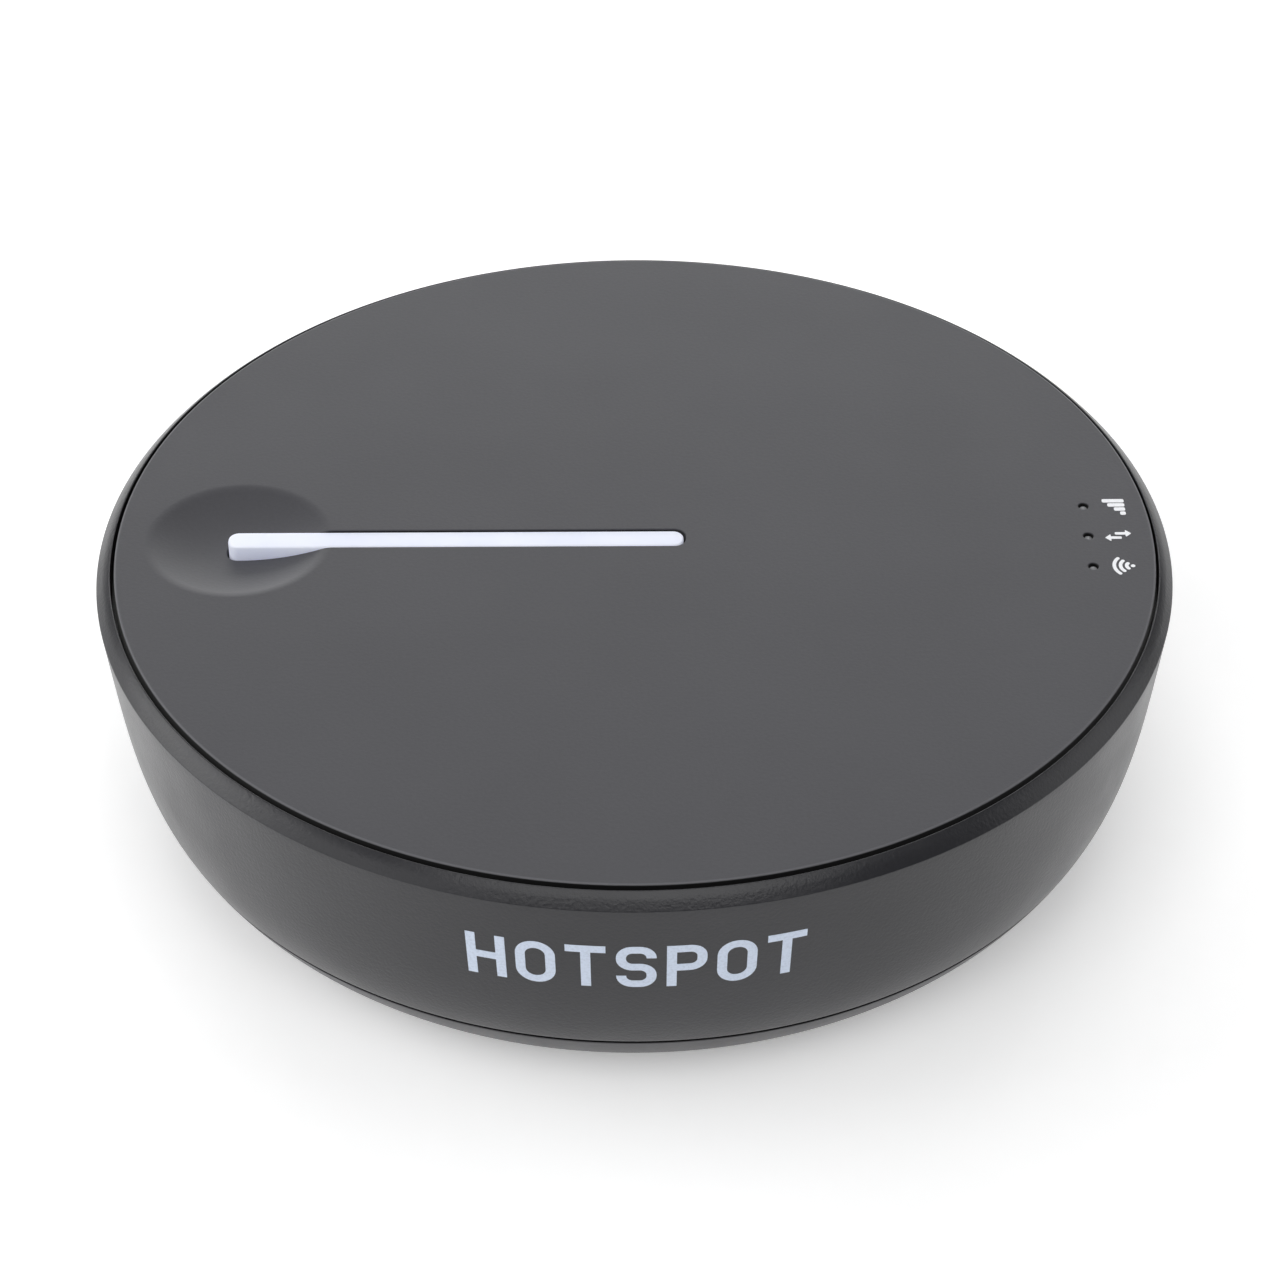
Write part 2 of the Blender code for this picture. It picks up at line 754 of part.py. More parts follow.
def make_chassis():
    """A plate with four posts down to the base, a wall round the battery and four board standoffs."""
    chassis = cylinder(
        "inner_chassis", CHASSIS_RADIUS, CHASSIS_LOW, CHASSIS_TOP, "chassis_black", sides=64
    )
    wall_low = CHASSIS_LOW - 4.5 * MM
    wall_high = CHASSIS_LOW + 0.3 * MM
    clear_x, clear_y = BATTERY_SIZE.x / 2 + 0.4 * MM, BATTERY_SIZE.y / 2 + 0.4 * MM
    wall_thickness = 1.2 * MM
    for side, word in ((-1, "a"), (1, "b")):
        x_near, x_far = side * clear_x, side * (clear_x + wall_thickness)
        y_near, y_far = side * clear_y, side * (clear_y + wall_thickness)
        end_wall = block_between(
            f"battery_end_wall_{word}",
            (min(x_near, x_far), -16 * MM, wall_low),
            (max(x_near, x_far), 16 * MM, wall_high),
            "chassis_black",
        )
        side_wall = block_between(
            f"battery_side_wall_{word}",
            (6 * MM, min(y_near, y_far), wall_low),
            (22 * MM, max(y_near, y_far), wall_high),
            "chassis_black",
        )
        join(chassis, end_wall, side_wall)
    post_low = BASE_FLOOR + 1.1 * MM + REST_GAP
    for degrees in BASE_SCREW_ANGLES:
        at = around(BASE_SCREW_RADIUS_AT, degrees)
        post = cylinder(f"post_{degrees}", 2.2 * MM, post_low, wall_high, "chassis_black", at)
        join(chassis, post)
    for degrees in BOARD_SCREW_ANGLES:
        at = around(BOARD_SCREW_RADIUS_AT, degrees)
        boss = cylinder(f"boss_{degrees}", 1.8 * MM, 10.5 * MM, STANDOFF_TOP, "chassis_black", at)
        join(chassis, boss)
    for degrees in BASE_SCREW_ANGLES:
        at = around(BASE_SCREW_RADIUS_AT, degrees)
        pilot = cylinder(f"pilot_{degrees}", 1.1 * MM, 2 * MM, 12.4 * MM, "chassis_black", at, 16)
        cut(chassis, pilot)
    for degrees in BOARD_SCREW_ANGLES:
        at = around(BOARD_SCREW_RADIUS_AT, degrees)
        pilot = cylinder(f"insert_{degrees}", 0.9 * MM, 11.2 * MM, 16 * MM, "chassis_black", at, 16)
        cut(chassis, pilot)
    return cut(chassis, lead_notch("chassis_lead_notch", CHASSIS_LOW, CHASSIS_TOP))


def lead_notch(name, low, high):
    """A cutter for the notch at the front edge that the battery leads come up through."""
    return block_between(
        name, (-11 * MM, -40 * MM, low - 1 * MM), (-4 * MM, -33 * MM, high + 1 * MM), "chassis_black"
    )


def make_board():
    board = cylinder("main_board", BOARD_RADIUS, BOARD_LOW, BOARD_TOP, "board_green", sides=64)
    usb_back = USB_FRONT_Y - USB_DEPTH
    usb_notch = block_between(
        "board_usb_notch",
        (-USB_WIDTH / 2 - REST_GAP, usb_back - REST_GAP, BOARD_LOW - 1 * MM),
        (USB_WIDTH / 2 + REST_GAP, 40 * MM, BOARD_TOP + 1 * MM),
        "board_green",
    )
    cut(board, usb_notch, lead_notch("board_lead_notch", BOARD_LOW, BOARD_TOP))
    for degrees in BOARD_SCREW_ANGLES:
        at = around(BOARD_SCREW_RADIUS_AT, degrees)
        hole = cylinder(
            f"board_hole_{degrees}", 0.95 * MM, BOARD_LOW - MM, BOARD_TOP + MM, "board_green", at, 16
        )
        cut(board, hole)
    return board


def make_shield_can(name, size_x, size_y, height, at):
    """A pressed metal can, open towards the board."""
    bm = bmesh.new()
    bmesh.ops.create_cube(bm, size=1)
    bmesh.ops.scale(bm, vec=(size_x, size_y, height), verts=bm.verts)
    lowest = min(bm.faces, key=lambda face: face.calc_center_median().z)
    bmesh.ops.delete(bm, geom=[lowest], context="FACES_ONLY")
    centre = (at[0], at[1], PART_LOW + height / 2)
    can = add_object(name, mesh_from(bm, name), "tinned_steel", centre)
    wall = can.modifiers.new("wall", "SOLIDIFY")
    wall.thickness = 0.2 * MM
    wall.offset = -1
    return can


def make_board_parts():
    can_height = 1.6 * MM
    make_shield_can("baseband_shield", 24 * MM, 18 * MM, can_height, (2 * MM, 17 * MM))
    make_shield_can("radio_shield", 18 * MM, 13 * MM, can_height, (-15 * MM, -16 * MM))
    make_shield_can("wireless_shield", 14 * MM, 12 * MM, can_height, (15 * MM, -14 * MM))
    block(
        "embedded_sim",
        (6 * MM, 5 * MM, 0.9 * MM),
        (-19 * MM, 14 * MM, PART_LOW + 0.45 * MM),
        "black_resin",
    )
    inductor_at = (9 * MM, -27 * MM)
    inductor = block(
        "charge_inductor",
        (5 * MM, 5 * MM, 2 * MM),
        (*inductor_at, PART_LOW + 1 * MM),
        "black_resin",
        corner=0.7 * MM,
    )
    bevel(inductor, 0.2 * MM)
    pad_low = PART_LOW + can_height + REST_GAP
    pad_top = pad_low + 1.6 * MM
    block(
        "thermal_pad",
        (14 * MM, 14 * MM, pad_top - pad_low),
        (2 * MM, 17 * MM, (pad_low + pad_top) / 2),
        "thermal_pad_blue",
    )
    spreader_low = pad_top + REST_GAP
    spreader_top = COVER_UNDERSIDE - REST_GAP
    block(
        "heat_spreader",
        (40 * MM, 20 * MM, spreader_top - spreader_low),
        (2 * MM, 17 * MM, (spreader_low + spreader_top) / 2),
        "aluminium_sheet",
        corner=1.5 * MM,
    )


def make_usb_socket():
    """The socket's metal sleeve, closed at its back, and the contact tongue inside it."""
    back = USB_FRONT_Y - USB_DEPTH
    shell = stadium_prism(
        "usb_c_shell", USB_WIDTH, USB_HEIGHT, back, USB_FRONT_Y, USB_Z, "tinned_steel"
    )
    cavity = stadium_prism(
        "usb_cavity",
        USB_WIDTH - 2 * USB_WALL,
        USB_HEIGHT - 2 * USB_WALL,
        back + 0.9 * MM,
        USB_FRONT_Y + 1 * MM,
        USB_Z,
        "tinned_steel",
    )
    cut(shell, cavity)
    tongue_low = back + 0.9 * MM + SOLDER_GAP
    block_between(
        "usb_c_tongue",
        (-3.3 * MM, tongue_low, USB_Z - 0.35 * MM),
        (3.3 * MM, USB_FRONT_Y - 0.9 * MM, USB_Z + 0.35 * MM),
        "black_resin",
    )


# --- battery ----------------------------------------------------------------------------------------------


def make_battery():
    battery = block(
        "battery_cell",
        BATTERY_SIZE,
        (0, 0, BATTERY_LOW + BATTERY_SIZE.z / 2),
        "battery_pouch",
        corner=3.0 * MM,
        corner_steps=5,
    )
    bevel(battery, 0.8 * MM)
    foam_low = BASE_FLOOR + REST_GAP
    block(
        "battery_foam_pad", FOAM_SIZE, (0, 0, foam_low + FOAM_SIZE.z / 2), "foam_grey", corner=2 * MM
    )
    board_front = -BATTERY_SIZE.y / 2 - REST_GAP
    board_thickness = 0.8 * MM
    block_between(
        "battery_protection_board",
        (-18 * MM, board_front - board_thickness, 6 * MM),
        (4 * MM, board_front, 11 * MM),
        "board_green",
    )
    lead_radius = 0.45 * MM
    socket_at = Vector((-7.5, -28.5)) * MM
    socket_size = Vector((6.0, 3.2, 1.4)) * MM
    block(
        "battery_socket",
        socket_size,
        (*socket_at, PART_LOW + socket_size.z / 2),
        "connector_ivory",
    )
    plug_size = Vector((5.4, 2.6, 1.4)) * MM
    plug_at = (socket_at.x, socket_at.y - socket_size.y / 2 - REST_GAP - plug_size.y / 2)
    plug_z = PART_LOW + plug_size.z / 2
    block("battery_plug", plug_size, (*plug_at, plug_z), "connector_ivory")
    lead_start_y = board_front - board_thickness - REST_GAP
    plug_face_y = plug_at[1] - plug_size.y / 2 - REST_GAP
    for name, offset, finish in (("positive", -0.9, "lead_red"), ("negative", 0.9, "lead_black")):
        x = socket_at.x + offset * MM
        route = [
            (x, lead_start_y, 8.5 * MM),
            (x, lead_start_y - 4.0 * MM, 8.6 * MM),
            (x, -33.0 * MM, 10.5 * MM),
            (x, -35.0 * MM, 13.9 * MM),
            (x, -35.2 * MM, 16.0 * MM),
            (x, plug_face_y - 1.2 * MM, plug_z),
            (x, plug_face_y, plug_z),
        ]
        wire(f"battery_lead_{name}", route, lead_radius, finish)


# --- antennas ---------------------------------------------------------------------------------------------


def arc_strip(name, inner, outer, low, high, start, end, finish):
    """A curved strip about the axis, between two angles in degrees."""
    steps = max(4, round((end - start) / 5))
    angles = [start + (end - start) * i / steps for i in range(steps + 1)]
    bm = bmesh.new()
    rim = [around(inner, a) for a in angles] + [around(outer, a) for a in reversed(angles)]
    face = bm.faces.new([bm.verts.new((x, y, low)) for x, y in rim])
    lifted = bmesh.ops.extrude_face_region(bm, geom=[face])["geom"]
    upper = [v for v in lifted if isinstance(v, bmesh.types.BMVert)]
    bmesh.ops.translate(bm, vec=(0, 0, high - low), verts=upper)
    return add_object(name, mesh_from(bm, name), finish)


def make_antennas():
    carrier = turned(
        "antenna_carrier",
        [
            (CARRIER_INNER_RADIUS, CARRIER_TOP),
            (CARRIER_OUTER_RADIUS, CARRIER_TOP),
            (CARRIER_OUTER_RADIUS, CHASSIS_LOW),
            (CARRIER_INNER_RADIUS, CHASSIS_LOW),
        ],
        "chassis_black",
        sides=64,
        closed=True,
    )
    usb_gap = block_between(
        "carrier_usb_gap",
        (-USB_WIDTH / 2 - 0.5 * MM, 34 * MM, CHASSIS_LOW + 1 * MM),
        (USB_WIDTH / 2 + 0.5 * MM, 42 * MM, CARRIER_TOP + 1 * MM),
        "chassis_black",
    )
    pin_gap = radial_cylinder(
        "carrier_pin_gap",
        PINHOLE_RADIUS + 0.2 * MM,
        CARRIER_INNER_RADIUS - 1 * MM,
        CARRIER_OUTER_RADIUS + 0.4 * MM,
        RESET_ANGLE,
        RESET_Z,
        "chassis_black",
    )
    cut(carrier, usb_gap, pin_gap)
    for name, start, end in ANTENNAS:
        arc_strip(
            f"{name}_antenna",
            FLEX_RADIUS,
            FLEX_RADIUS + FLEX_THICKNESS,
            CHASSIS_TOP + REST_GAP,
            CARRIER_TOP - 0.3 * MM,
            start,
            end,
            "flex_amber",
        )
        make_antenna_contact(f"{name}_contact", (start + end) / 2)


def make_antenna_contact(name, degrees):
    """A bent spring clip on the board's edge that reaches out to the antenna foil."""
    thickness = 0.15 * MM
    width = 1.6 * MM
    path = [(35.4, 0.0), (36.6, 0.0), (36.6, 0.6), (35.9, 0.9), (36.6, 1.2), (37.4, 1.2)]
    points = [(r * MM, PART_LOW + thickness + h * MM) for r, h in path]
    bm = bmesh.new()
    rows = [
        [bm.verts.new((r, side * width / 2, z)) for r, z in points]
        for side in (-1, 1)
    ]
    for i in range(len(points) - 1):
        bm.faces.new((rows[0][i], rows[0][i + 1], rows[1][i + 1], rows[1][i]))
    clip = add_object(name, mesh_from(bm, name), "gold_contact", turn=degrees)
    strip = clip.modifiers.new("strip", "SOLIDIFY")
    strip.thickness = thickness
    strip.offset = 0
    return clip


# --- fasteners --------------------------------------------------------------------------------------------


def make_screw(name, at, head_radius, head_low, head_high, shank_radius, tip, finish="screw_steel"):
    """A pan-head screw with a cross recess. tip is the height of the far end of its shank."""
    head_height = head_high - head_low
    pointing_down = tip < head_low
    recess_depth = head_height * 0.55
    root = head_low if pointing_down else head_high
    overlap = head_height / 3 if pointing_down else -head_height / 3
    head = cylinder(name, head_radius, head_low, head_high, finish, at, sides=20)
    shank_ends = sorted((tip, root + overlap))
    join(head, cylinder(f"{name}_shank", shank_radius, *shank_ends, finish, at, sides=12))
    recess_low = head_high - recess_depth if pointing_down else head_low - 1 * MM
    recess_high = head_high + 1 * MM if pointing_down else head_low + recess_depth
    for turn in (45, 135):
        arm = block(
            f"{name}_recess_{turn}",
            (head_radius * 1.1, head_radius * 0.26, recess_high - recess_low),
            (at[0], at[1], (recess_low + recess_high) / 2),
            finish,
            turn=turn,
        )
        cut(head, arm)
    return head


def make_screws():
    for i, degrees in enumerate(BASE_SCREW_ANGLES):
        at = around(BASE_SCREW_RADIUS_AT, degrees)
        make_screw(f"base_screw_{i + 1}", at, 1.8 * MM, 1.45 * MM, 2.1 * MM, 0.8 * MM, 9.5 * MM)
    for i, degrees in enumerate(BOARD_SCREW_ANGLES):
        at = around(BOARD_SCREW_RADIUS_AT, degrees)
        low = BOARD_TOP + SOLDER_GAP
        make_screw(f"board_screw_{i + 1}", at, 1.4 * MM, low, low + 0.7 * MM, 0.6 * MM, 11.8 * MM)


clear_scene()
parts = new_collection("mobile_hotspot")
helpers = new_collection("cutters")
make_body_shell()
make_top_cover()
make_base_cover()
make_foot_ring()
make_rating_label()
make_power_bar()
make_pivot_pin()
make_switch()
make_reset_switch()
make_lights()
make_chassis()
make_board()
make_board_parts()
make_usb_socket()
make_battery()
make_antennas()
make_screws()
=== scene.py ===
"""The looks of a round pocket mobile hotspot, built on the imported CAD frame.

The visible casing, power bar, lights, socket, foot and printed marks are new smooth surfaces, worked out as
whole arrays. The pieces inside keep their CAD meshes and get finishes of their own. Every length is in
metres, +Z is up, the printed front faces -Y, and each surface is placed from the CAD nodes' own boxes.
"""

import json
import math

import bmesh
import bpy
import numpy as np
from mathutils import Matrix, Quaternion, Vector, geometry


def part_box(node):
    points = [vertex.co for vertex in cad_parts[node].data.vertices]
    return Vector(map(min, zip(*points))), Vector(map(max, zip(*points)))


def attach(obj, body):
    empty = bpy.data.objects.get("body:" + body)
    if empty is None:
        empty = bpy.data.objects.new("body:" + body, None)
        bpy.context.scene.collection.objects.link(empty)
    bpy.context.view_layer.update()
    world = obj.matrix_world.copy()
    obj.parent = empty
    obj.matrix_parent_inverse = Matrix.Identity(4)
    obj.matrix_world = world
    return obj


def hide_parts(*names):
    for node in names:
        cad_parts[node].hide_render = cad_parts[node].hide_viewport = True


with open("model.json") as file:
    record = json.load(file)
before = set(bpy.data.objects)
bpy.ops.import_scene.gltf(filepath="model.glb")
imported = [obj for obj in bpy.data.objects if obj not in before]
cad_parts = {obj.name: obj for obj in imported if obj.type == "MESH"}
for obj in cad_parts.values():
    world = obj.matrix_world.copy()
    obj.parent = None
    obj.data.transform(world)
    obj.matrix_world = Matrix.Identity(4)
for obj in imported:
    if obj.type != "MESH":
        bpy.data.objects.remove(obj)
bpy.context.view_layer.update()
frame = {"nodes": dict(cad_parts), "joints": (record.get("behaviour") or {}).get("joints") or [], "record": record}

MM = 0.001
TAU = 2 * math.pi
# Painted shade: the near-black colour put in gaps and holes, where no light gets out
GAP_SHADE_BLACK = "060607"
# Closer points are one point, in millimetres while triangulating and in metres while welding
SAME_POINT_MM = 1e-7
WELD = 2e-7
# A shorter edge and a smaller area count as nothing
NO_LENGTH = 1e-8
NO_AREA = 1e-16
# Share of half a shape's width that rounds its ends fully but leaves each straight side its own points
FULL_ROUND = 0.999

# Places read from the CAD
COVER_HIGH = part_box("top_cover")[1]
SHELL_LOW, SHELL_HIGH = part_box("body_shell")
BASE_LOW, BASE_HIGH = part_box("base_cover")
FOOT_LOW, FOOT_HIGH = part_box("foot_ring")
LABEL_LOW, LABEL_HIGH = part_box("rating_label")
BAR_LOW, BAR_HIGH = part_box("power_bar")
SOCKET_LOW, SOCKET_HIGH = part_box("usb_c_shell")
TONGUE_LOW, TONGUE_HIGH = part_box("usb_c_tongue")
GUIDE_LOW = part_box("light_guide")[0]
RESET_LOW, RESET_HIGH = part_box("reset_switch_plunger")
PIN_LOW, PIN_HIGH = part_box("bar_pivot_pin")
HINGE = Vector(next(j for j in frame["joints"] if j["name"] == "power_bar_press")["pos_m"])

# Casing
TOP = COVER_HIGH.z
BODY_RADIUS = SHELL_HIGH.x
COVER_RADIUS = COVER_HIGH.x
COVER_THICKNESS = 1.8 * MM
COVER_UNDERSIDE = TOP - COVER_THICKNESS
RIM_INNER_RADIUS = COVER_RADIUS + 0.24 * MM
RIM_TOP = SHELL_HIGH.z
SHOULDER_Z = TOP - 1.25 * MM
DRAFT = 0.11
TUCK = 4.7 * MM
TUCK_DEPTH = 20.5 * MM
TUCK_POWER = 5
WALL = 1.8 * MM
LEDGE_INNER_RADIUS = 39.2 * MM
LEDGE_TOP = COVER_UNDERSIDE - 0.3 * MM
LEDGE_UNDERSIDE = LEDGE_TOP - 1.2 * MM
CHASSIS_SEAT_RADIUS = 36.5 * MM
CHASSIS_SEAT_LOW = 12.2 * MM
CHASSIS_SEAT_TOP = 13.2 * MM
SHELL_LOW_EDGE = 0.12 * MM
FINE_ROWS_LOW = 13.4 * MM
FINE_ROWS_HIGH = 20.4 * MM
SOCKET_CLEARANCE = 0.28 * MM
RESET_HOLE_RADIUS = 0.7 * MM
LID_OFFSET = np.array((0.04, 0.08)) * MM
WALL_COLUMNS = 480

# Thumb dish and power bar
DISH_CENTRE = np.array((-31.4, 0.0)) * MM
DISH_RADIUS = 7.15 * MM
DISH_DEPTH = 1.3 * MM
DISH_BLEND = 0.16 * MM
BAR_WIDTH = 1.96 * MM
BAR_Y = 0.06 * MM
BAR_LEFT = -32.2 * MM
BAR_RIGHT = 3.9 * MM
BAR_CORNER = 0.85 * MM
SLOT_END_GAP = 0.2 * MM
SLOT_SIDE_GAP = 0.12 * MM
SLOT_EDGE = 0.07 * MM
LID_EDGE = 0.16 * MM
# Flat strips between a rounded edge and the lid's sheet of triangles
LID_BORDER = 0.06 * MM
HOLE_BORDER = 0.05 * MM
DISH_PAD_RADIUS = 7.2 * MM
DISH_PAD_UNDERSIDE = TOP - 2.4 * MM
COLLAR_HALF_WIDTH = 2.05 * MM
COLLAR_PAST_BAR = 1.0 * MM
COLLAR_CORNER = 0.8 * MM
PIN_BORE = 0.56 * MM
HOOK_ANGLES = (45, 135, 225, 315)

# Lights and their icons
LIGHT_X = 36.0 * MM
LIGHT_PITCH = 4.0 * MM
LIGHT_HOLE_RADIUS = 0.43 * MM
LIGHT_HOLE_EDGE = 0.06 * MM
INK_LIFT = 0.02 * MM

# Generic word printed on the front wall
WORD = "HOTSPOT"
WORD_Z = TOP - 7.1 * MM
LETTER_WIDTH = 2.9 * MM
LETTER_HEIGHT = 4.4 * MM
LETTER_GAP = 0.73 * MM
STROKE = 0.72 * MM

# Base
GROOVE_RADIUS = 31.5 * MM
GROOVE_WIDTH = 4.6 * MM
GROOVE_CEILING = 1.4 * MM
BASE_FLOOR = 2.3 * MM
BASE_FLOOR_RADIUS = 33.9 * MM
BASE_RIM_Z = BASE_LOW.z + 5.0 * MM
SEAT_RADIUS = 2.1 * MM
LABEL_RECESS_CEILING = 1.1 * MM
FLOOR_Z = -0.02 * MM


# --- outlines and profiles --------------------------------------------------------------------------------


def circle(radius, count, centre=(0, 0)):
    """Points at equal angles on a circle, and the outward unit normal at each: (cos a, sin a)."""
    angle = np.arange(count) * TAU / count
    normal = np.column_stack((np.cos(angle), np.sin(angle)))
    return np.asarray(centre) + radius * normal, normal


def rounded_box(width, height, corner, centre=(0, 0), corner_steps=10, spacing=None):
    """A rectangle whose corners are quarter circles, from the right side's middle and anticlockwise.

    Corner k turns from 90k to 90(k+1) degrees about its own centre, so a point is that centre plus the corner
    radius times (cos a, sin a), which is also its normal. Straight sides get points at the stated spacing.
    """
    half = np.array((width / 2 - corner, height / 2 - corner))
    signs = np.array(((1, 1), (-1, 1), (-1, -1), (1, -1)))
    points, normals = [], []
    for k, sign in enumerate(signs):
        angle = np.linspace(0, math.pi / 2, corner_steps + 1) + k * math.pi / 2
        normal = np.column_stack((np.cos(angle), np.sin(angle)))
        points.append(sign * half + corner * normal)
        normals.append(normal)
        start = points[-1][-1]
        end = signs[(k + 1) % 4] * half + corner * normal[-1]
        length = float(np.linalg.norm(end - start))
        inner = int(length / spacing) - 1 if spacing else 0
        if inner > 0:
            share = np.arange(1, inner + 1)[:, None] / (inner + 1)
            points.append(start + (end - start) * share)
            normals.append(np.repeat(normal[-1:], inner, axis=0))
    return np.asarray(centre) + np.vstack(points), np.vstack(normals)


def keyhole(centre, radius, half_width, right_end, corner, steps=96, corner_steps=9):
    """A circle joined to a straight bar that leaves it towards +X: the circle's arc from a to 360 - a, where
    sin a = half width / radius, then the bar's far end as two quarter circles."""
    opening = math.asin(half_width / radius)
    arc = np.linspace(opening, TAU - opening, steps)
    arc_normal = np.column_stack((np.cos(arc), np.sin(arc)))
    arc_points = np.asarray(centre) + radius * arc_normal
    low, high = (np.linspace(a, a + math.pi / 2, corner_steps) for a in (-math.pi / 2, 0))
    ends, end_normals = [], []
    for angle, side in ((low, -1), (high, 1)):
        normal = np.column_stack((np.cos(angle), np.sin(angle)))
        end_normals.append(normal)
        ends.append(np.array((right_end - corner, side * (half_width - corner))) + corner * normal)
    return np.vstack((arc_points, *ends)), np.vstack((arc_normal, *end_normals))


def filleted(corners, steps=5, closed=False):
    """A polyline through corners of (x, y, radius), each rounded by an arc of that radius.

    The arc touches both sides at r / tan(half the corner's angle) from it, and its points are the corner's
    circle centre plus r times the unit vector that turns evenly from one touching point to the other.
    """
    count = len(corners)
    rows = []
    for i, (x, y, radius) in enumerate(corners):
        corner = np.array((x, y))
        if radius <= 0 or (not closed and i in (0, count - 1)):
            rows.append(corner[None])
            continue
        before = np.array(corners[i - 1][:2]) - corner
        after = np.array(corners[(i + 1) % count][:2]) - corner
        before /= np.linalg.norm(before)
        after /= np.linalg.norm(after)
        half = math.acos(np.clip(before @ after, -1, 1)) / 2
        centre_way = before + after
        centre = corner + centre_way / np.linalg.norm(centre_way) * radius / math.sin(half)
        start, end = (corner + way * radius / math.tan(half) - centre for way in (before, after))
        turn = math.atan2(start[0] * end[1] - start[1] * end[0], start @ end)
        angle = math.atan2(start[1], start[0]) + np.linspace(0, turn, steps + 1)
        rows.append(centre + radius * np.column_stack((np.cos(angle), np.sin(angle))))
    return np.vstack(rows)


def rounding(radius, steps=4):
    """(inset, drop) of a quarter-round edge, radius times (1 - sin a, 1 - cos a) for a from 0 to 90."""
    angle = np.linspace(0, math.pi / 2, steps + 1)
    return np.column_stack((radius * (1 - np.sin(angle)), radius * (1 - np.cos(angle))))


# --- sheets: vertices and faces that a piece is put together from -----------------------------------------


def grid_faces(rows, columns, wrap=True):
    """Quads between neighbouring rows of a grid. With wrap, the last column joins the first."""
    row, column = np.meshgrid(np.arange(rows - 1), np.arange(columns if wrap else columns - 1))
    row, column = row.ravel(), column.ravel()
    beside = (column + 1) % columns
    return np.column_stack(
        (
            row * columns + column,
            row * columns + beside,
            (row + 1) * columns + beside,
            (row + 1) * columns + column,
        )
    )


def lofted(rings):
    """A skin over closed rings of equal length, K x N x 3: neighbouring rings are joined by quads."""
    rings = np.asarray(rings)
    return rings.reshape(-1, 3), grid_faces(rings.shape[0], rings.shape[1])


def turned(profile, count=WALL_COLUMNS, centre=(0, 0)):
    """A surface of revolution: a profile point (r, z) goes to (r sin a, r cos a, z) at each angle a."""
    profile = np.asarray(profile)
    angle = np.arange(count) * TAU / count
    rings = np.empty((len(profile), count, 3))
    rings[..., 0] = centre[0] + profile[:, :1] * np.sin(angle)
    rings[..., 1] = centre[1] + profile[:, :1] * np.cos(angle)
    rings[..., 2] = profile[:, 1:2]
    return lofted(rings)


def carried(outline, normals, profile):
    """A profile of (offset, z) carried round a flat outline: point + offset x normal, at height z."""
    profile = np.asarray(profile)
    rings = np.empty((len(profile), len(outline), 3))
    rings[..., :2] = outline + profile[:, :1, None] * normals
    rings[..., 2] = profile[:, 1:2]
    return lofted(rings)


def inside(points, loop):
    """Which points lie in a loop: a ray along +X crosses its edges an odd number of times."""
    x, y = points[:, :1], points[:, 1:2]
    ax, ay = loop[:, 0], loop[:, 1]
    bx, by = np.roll(ax, -1), np.roll(ay, -1)
    spans = (ay > y) != (by > y)
    safe = np.where(by == ay, 1.0, by - ay)
    return ((spans & (x < (bx - ax) * (y - ay) / safe + ax)).sum(1) % 2) == 1


def triangulated(loops, inner=()):
    """Delaunay triangles over the points of the loops and of the inner arrays, which keep every loop edge.

    Returns the flat points, the triangles and each triangle's middle.
    """
    edges, start = [], 0
    for loop in loops:
        index = start + np.arange(len(loop))
        edges += list(zip(index.tolist(), np.roll(index, -1).tolist()))
        start += len(loop)
    points = [Vector(p) for p in np.vstack((*loops, *inner)) / MM]
    made = geometry.delaunay_2d_cdt(points, edges, [], 0, SAME_POINT_MM)
    flat = np.array([tuple(p) for p in made[0]]) * MM
    faces = np.array([f for f in made[2] if len(f) == 3])
    return flat, faces, flat[faces].mean(1)


def filled(loops, z, inner=None, up=True):
    """A sheet of triangles inside the first loop and outside the rest, at height z or at z(x, y).

    The triangles whose middle lies outside the first loop or in another one are dropped.
    """
    flat, faces, middle = triangulated(loops, () if inner is None else (inner,))
    keep = inside(middle, loops[0])
    for loop in loops[1:]:
        keep &= ~inside(middle, loop)
    faces = faces[keep]
    a, b, c = (flat[faces[:, k]] for k in range(3))
    area = (b[:, 0] - a[:, 0]) * (c[:, 1] - a[:, 1]) - (b[:, 1] - a[:, 1]) * (c[:, 0] - a[:, 0])
    real = np.abs(area) > NO_AREA
    faces, area = faces[real], area[real]
    faces[(area > 0) != up] = faces[(area > 0) != up][:, ::-1]
    height = z(flat[:, 0], flat[:, 1]) if callable(z) else np.full(len(flat), z)
    return np.column_stack((flat, height)), faces


def slab(outline, normals, low, high, edge=0.0):
    """A closed plate of that outline: rounded edges carried round it, and a flat sheet at each end."""
    border = 0.04 * MM
    side = [(0, high), (0, low)]
    if edge:
        corner = rounding(edge)
        side = [(-edge - border, high)]
        side += [(-inset, high - drop) for inset, drop in corner]
        side += [(-inset, low + drop) for inset, drop in corner[::-1]]
        side += [(-edge - border, low)]
    skin = carried(outline, normals, side)
    top = filled([outline + side[0][0] * normals], high)
    bottom = filled([outline + side[-1][0] * normals], low, up=False)
    return [skin, top, bottom]


def moved(sheets, place):
    """The same sheets with each point (x, y, z) put through place."""
    return [(np.column_stack(place(*points.T)), faces) for points, faces in sheets]


# --- pieces -----------------------------------------------------------------------------------------------


